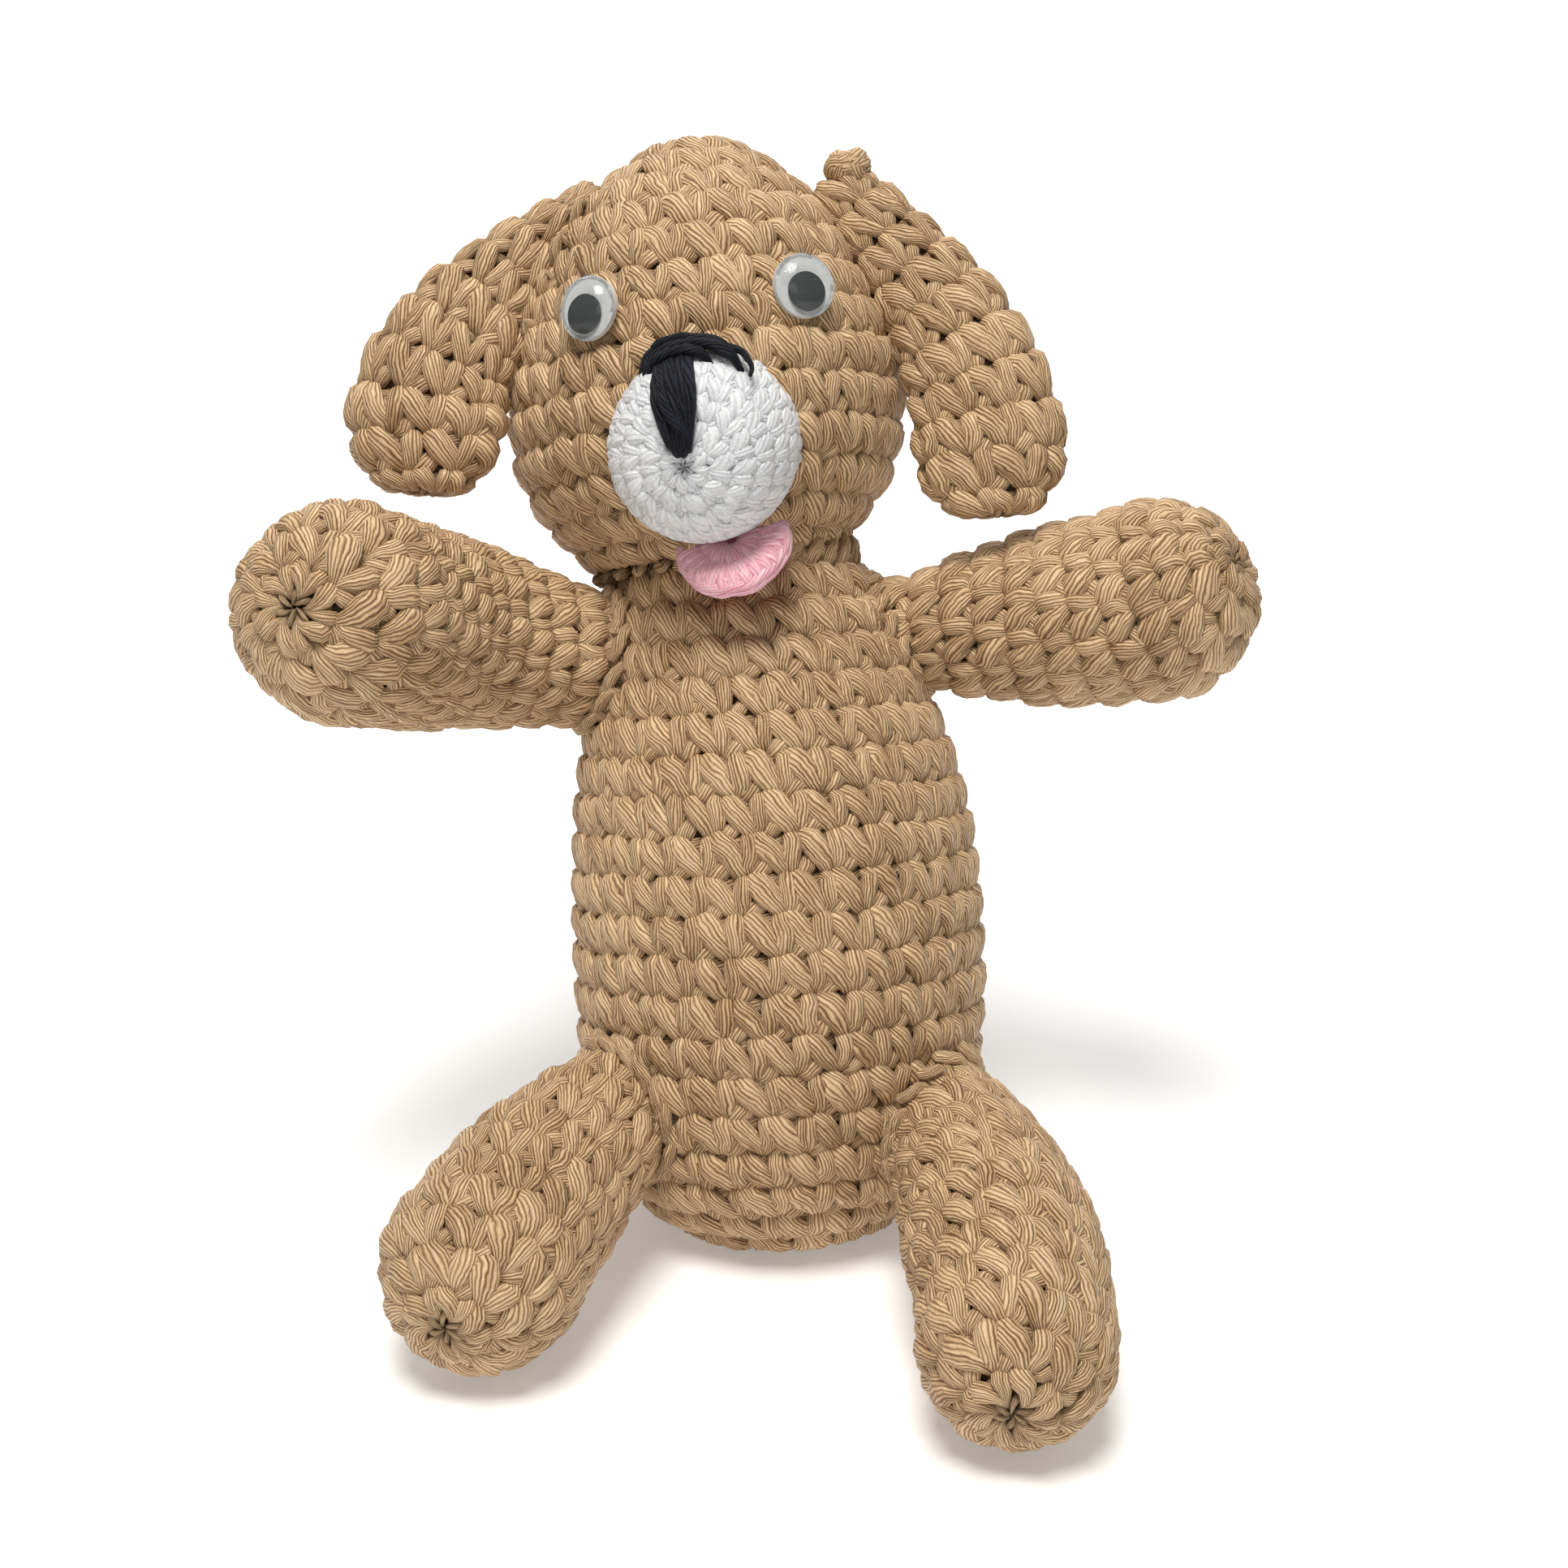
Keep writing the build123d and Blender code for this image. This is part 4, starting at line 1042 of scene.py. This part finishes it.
# ---- tongue: a small fan of two rows
TON_O = np.array([-6.6, 4.2, 114.7])
TON_X = unit([0.956, 0, 0.292])
TON_Y = unit([0.150, -0.857, -0.492])
TON_N = -np.cross(TON_X, TON_Y)


def tongue_at(a, b, c):
    """a across, b out from the mouth, c above the middle of the tongue, in mm."""
    return TON_O + TON_X * a + TON_Y * b + TON_N * (c + 0.0 * a)


y = Yarn()
r8 = np.random.default_rng(530)
HALF_W, LONG = 8.3, 11.4


def rim(deg, grow=1.0, scallop=0.0):
    a = math.radians(deg)
    k = grow * (1 + scallop * abs(math.sin(a * 3.5)))
    return HALF_W * math.cos(a) * k, 1.2 + (LONG - 1.2) * math.sin(a) * k


for row, (g0, g1, count, c0, c1, half) in enumerate(((0.12, 0.60, 9, 0.1, 0.55, 1.0), (0.52, 0.98, 13, 0.2, 0.35, 1.05))):
    for k in range(count):
        for side, lean_ in ((-1, -2.5), (1, 3.0)):
            d0 = 4 + 172 * (k + 0.5) / count + r8.uniform(-1.5, 1.5)
            d1 = d0 + side * 172 / count * 0.27 + lean_
            pts = []
            for f, g, c in ((0, g0 - 0.06, -0.9), (0.2, g0 + 0.04, c0), (0.6, (g0 + g1) / 2 + 0.05, c1 + 0.25), (0.9, g1 - 0.03, c1 + 0.1), (1.0, g1 + 0.03, -0.7)):
                x, yy = rim(d0 + (d1 - d0) * f, g)
                pts.append(tongue_at(x, yy, c))
            add_rope(y, pts, half * (0.78 if row == 0 else 0.92), tongue_at(0, 5, -9), r8, n=10, sides=10, twist=0.4, taper=[(0, 0.6), (0.3, 1), (0.8, 1.05), (1, 0.8)])
for g, half, c, sc in ((0.98, 0.85, -0.15, 0.03), (0.99, 0.8, -1.05, 0.04), (0.60, 0.7, 0.15, 0.02)):
    pts = [tongue_at(*rim(d, g, sc), c + 0.12 * math.sin(d * 0.21)) for d in range(-4, 190, 6)]
    add_rope(y, pts, half, tongue_at(0, 5, -9), r8, n=70, sides=12, twist=4.0)
sheet = []
for c, g in ((0.25, 0.05), (0.25, 0.5), (0.1, 0.9), (-0.55, 0.96), (-1.2, 0.9), (-1.25, 0.5), (-1.25, 0.05)):
    sheet.append([tongue_at(*(lambda q: (q[0], q[1]))(rim(d, g)), c) for d in list(np.linspace(-6, 186, 30))] + [tongue_at(x, 0.6, c) for x in np.linspace(-0.9, 0.9, 6)])
y.backing(np.array(sheet))
made["tongue_crochet"] = y.build("tongue_crochet")

# ---- sewing at the joins
y = Yarn()
r9 = np.random.default_rng(540)
n = 28
u = (np.arange(n) + r9.uniform(-0.2, 0.2, n)) / n
lo_v = BODY.rows * 0.0
place = []
for k in range(n):
    best = None
    vv = np.linspace(BODY.rows - 4, BODY.rows, 60)
    pb, nb = BODY.at(np.full(60, u[k]), vv)
    deep = head_inside(pb)
    hit = np.nonzero(deep > -0.3)[0]
    j = hit[0] if len(hit) else 40
    place.append((pb[j], nb[j], vv[j]))
ctrl, nrm = [], []
for k, (p, nb, vv) in enumerate(place):
    out_h = outward(head_inside, p[None])[0]
    low, nl = BODY.at(u[k] - 0.25 / n, vv - 0.42)
    up = p + np.array([0, math.sin(LEAN), math.cos(LEAN)]) * (2.5 - 1.2 * max(0.0, -nb[1]))
    side = unit(np.cross((0, math.sin(LEAN), math.cos(LEAN)), nb))
    up = up + side * 1.0
    up = up + outward(head_inside, up[None])[0] * head_inside(up[None])[0]
    oh = outward(head_inside, up[None])[0]
    m = (low + up) / 2
    nm = unit(nl + oh)
    ctrl.append([low - nl * 2.0 - np.array([0, 0.25, 0.9]), low + nl * 0.3, m + nm * (0.35 - 0.3 * max(0.0, -nb[1])), up + oh * (0.3 - 0.3 * max(0.0, -nb[1])), up - oh * 2.0 + np.array([0, 0.25, 0.9])])
    nrm.append([nl, nl, nm, oh, oh])
ctrl = np.array(ctrl) + r9.uniform(-0.15, 0.15, (n, 5, 3))
path, nrm = catmull(ctrl, 9), unit(catmull(np.array(nrm), 9))
w = np.broadcast_to(np.interp(np.linspace(0, 1, 9), [0, 0.25, 0.5, 0.75, 1], [0.75, 1.15, 1.25, 1.15, 0.75])[None], (n, 9)) * 1.0
# painted shade: the ends, which go in under the work, get depth so that the yarn material darkens them
y.strands(sweep(path, nrm, w, w * 0.8, 12, r9), r9.random(n), np.broadcast_to(np.interp(np.linspace(0, 1, 9), [0, 0.2, 0.8, 1], [-1.6, -0.3, -0.3, -1.6]), (n, 9)), path)
made["neck_sewing"] = y.build("neck_sewing", (press_eyes,))

for key, skin in LIMBS.items():
    y = Yarn()
    whip(y, skin, body_inside, 15, np.random.default_rng(550 + len(made)), 1.05, v_from=skin.rows * 0.45)
    made[key + "_sewing"] = y.build(key + "_sewing", (floor_clear,))
for key, skin in EARS.items():
    y = Yarn()
    rr = np.random.default_rng(560 + len(made))
    whip(y, skin, head_inside, 11, rr, 1.0, v_from=skin.rows * 0.5, reach=2.0)
    line = EAR_R_LINE if key == "ear_right" else EAR_L_LINE
    root, nxt = np.asarray(line[0], float), np.asarray(line[1], float)
    if key == "ear_left":
        knob = np.array([11.6, 36.5, 168.4])
        # a small knot of yarn stands on the join
        for k in range(9):
            t1 = rr.uniform(0, math.tau)
            ax = unit([math.cos(t1) * 0.5, 0.25, 1.0])
            e1_ = unit(np.cross(ax, (0.3, 1, 0.1)))
            e2_ = np.cross(ax, e1_)
            rad = rr.uniform(1.7, 2.5)
            ph = rr.uniform(0, math.tau)
            add_rope(y, [knob + e1_ * rad * math.cos(ph + a) + e2_ * rad * math.sin(ph + a) + ax * rr.uniform(-0.8, 0.8) for a in np.linspace(0, 4.2, 7)], 1.75, knob, rr, n=22,
                     twist=0.8, taper=[(0, 0.7), (0.2, 1), (0.8, 1), (1, 0.7)])
    made[key + "_sewing"] = y.build(key + "_sewing")
y = Yarn()
whip(y, MUZZLE, head_inside, 26, np.random.default_rng(570), 0.55, span=0.2, reach=0.3, rise=0.1, slant=0.3, v_from=MUZZLE.rows * 0.3, sides=10)
made["muzzle_sewing"] = y.build("muzzle_sewing")

# ---- filling
for key, skin, depth in [("body", BODY, 3.4), ("head", HEAD, 3.4), ("muzzle", MUZZLE, 2.4)] + [(k, s_, 3.2) for k, s_ in LIMBS.items()] + [(k, s_, 2.3) for k, s_ in EARS.items()]:
    y = Yarn()
    y.backing(filling_of(skin, depth, len(made), v0=2.3 if key == "head" else 0.25, v1=-3.2 if key == "body" else -0.1))
    made[key + "_filling"] = y.build(key + "_filling")

for name, ob in made.items():
    ob.data.materials.append(FILL if name.endswith("_filling") else WHITE if name.startswith("muzzle") else BLACK if name.startswith("nose")
                             else PINK if name.startswith("tongue") else BEIGE)
    print(name, "tris", sum(len(p.vertices) - 2 for p in ob.data.polygons))

# ------------------------------------------------------------------ riding
for part in BODY_PARTS:
    ob = made["body_crochet_" + part]
    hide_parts("body_cover")
    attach(ob, "torso")
for part in ("lower", "upper"):
    ob = made["head_crochet_" + part]
    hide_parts("head_cover")
    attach(ob, "head")


def follow(ob):
    """Bakes the piece's placement into its mesh."""
    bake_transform(ob)


for key in list(LIMBS) + list(EARS):
    for ending, node_, slot_, soft in (("_crochet", "_cover", "beige_yarn", 0.85 if key in LIMBS else 0.7), ("_filling", "_stuffing", "fibre_fill", 0.9), ("_sewing", "_seam_yarn", "beige_yarn", 0.6)):
        ob = made[key + ending]
        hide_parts(key + node_)
        follow(ob)
for name, node_, slot_, body_, soft in (
        ("muzzle_crochet", "muzzle_cover", "white_yarn", "head", 0.8), ("muzzle_filling", "muzzle_stuffing", "fibre_fill", "head", 0.9), ("muzzle_sewing", "muzzle_seam_yarn", "white_yarn", "head", 0.6),
        ("body_filling", "body_stuffing", "fibre_fill", "torso", 0.9), ("head_filling", "head_stuffing", "fibre_fill", "head", 0.9), ("neck_sewing", "neck_seam_yarn", "beige_yarn", "neck", 0.6),
        ("nose_line_yarn", "nose_line_stitch", "black_yarn", "head", 0.6), ("nose_top_yarn", "nose_top_stitch", "black_yarn", "head", 0.6), ("tongue_crochet", "tongue", "pink_yarn", "tongue", 0.6)):
    ob = made[name]
    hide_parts(node_)
    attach(ob, body_)

# carried-over CAD nodes
for n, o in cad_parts.items():
    mat = (FILL if n.endswith("_stuffing") else EYE_WHITE if n.endswith("_back") else EYE_CLEAR if n.endswith("_dome")
           else EYE_PUPIL if n.endswith("_pupil") else GLUE if n.endswith("_glue") else BLACK if n.startswith("nose")
           else WHITE if n.startswith("muzzle") else PINK if n == "tongue" else BEIGE)
    o.data.materials.clear()
    o.data.materials.append(mat)
    for s in o.material_slots:
        s.material = mat

# ============================================================ stage, light, view
def make_stage():
    me = bpy.data.meshes.new("studio_floor")
    xs = np.linspace(-0.6, 0.6, 9)
    prof = [(-0.4, 0.0), (0.25, 0.0)] + [(0.25 + 0.2 * math.sin(a), 0.2 - 0.2 * math.cos(a)) for a in np.linspace(0.15, math.pi / 2, 10)] + [(0.45, 0.5)]
    verts = [(x, yy, z) for yy, z in prof for x in xs]
    n = len(xs)
    faces = [(i * n + k, i * n + k + 1, (i + 1) * n + k + 1, (i + 1) * n + k) for i in range(len(prof) - 1) for k in range(n - 1)]
    me.from_pydata(verts, [], faces)
    ob = bpy.data.objects.new("studio_floor", me)
    bpy.context.scene.collection.objects.link(ob)
    for p in me.polygons:
        p.use_smooth = True
    m, nt, bsdf = new_material("studio_paper")
    geo = node(nt, "ShaderNodeTexCoord")
    n1 = node(nt, "ShaderNodeTexNoise", Scale=900.0, Detail=3.0)
    nt.links.new(geo.outputs["Object"], n1.inputs["Vector"])
    nt.links.new(ramp(nt, n1.outputs[0], [(0.35, (0.87, 0.87, 0.865)), (0.65, (0.89, 0.89, 0.885))]), bsdf.inputs["Base Color"])
    bsdf.inputs["Roughness"].default_value = 0.9
    # painted light: the paper glows a little, which brightens the floor and lightens the shadows on it
    bsdf.inputs["Emission Color"].default_value = (1, 1, 1, 1)
    bsdf.inputs["Emission Strength"].default_value = 0.3
    me.materials.append(m)


make_stage()


def area(name, where, to, size, power, colour=(1, 1, 1)):
    d = bpy.data.lights.new(name, "AREA")
    d.shape, d.size, d.energy, d.color = "DISK", size, power, colour
    o = bpy.data.objects.new(name, d)
    bpy.context.scene.collection.objects.link(o)
    from mathutils import Vector
    o.location = where
    o.rotation_euler = (Vector(to) - Vector(where)).to_track_quat("-Z", "Y").to_euler()


area("key_light", (-0.07, -0.33, 0.95), (0, 0, 0.09), 0.42, 11.5, (1.0, 0.985, 0.96))
area("fill_light", (0.0, -0.95, 0.40), (0, 0, 0.10), 0.5, 1.3, (0.98, 0.99, 1.0))
area("back_light", (0.0, 0.38, 0.85), (0, 0.2, 0.1), 0.3, 2.0)

world = bpy.data.worlds.new("studio")
bpy.context.scene.world = world
world.use_nodes = True
bg = world.node_tree.nodes["Background"]
bg.inputs[0].default_value = (1.0, 1.0, 1.0, 1)
bg.inputs[1].default_value = 0.2
bpy.context.scene.view_settings.view_transform = "Standard"
bpy.context.scene.view_settings.exposure = -0.42

cam_data = bpy.data.cameras.new("photo_view")
cam_data.sensor_width = 36
cam_data.lens = FOCAL / 1932 * 36
cam_data.clip_start, cam_data.clip_end = 0.01, 20
cam = bpy.data.objects.new("photo_view", cam_data)
bpy.context.scene.collection.objects.link(cam)
cam.location = tuple(CAM * MM)
cam.rotation_euler = (math.pi / 2 - PITCH, 0, 0)
bpy.context.scene.camera = cam

bpy.context.view_layer.update()
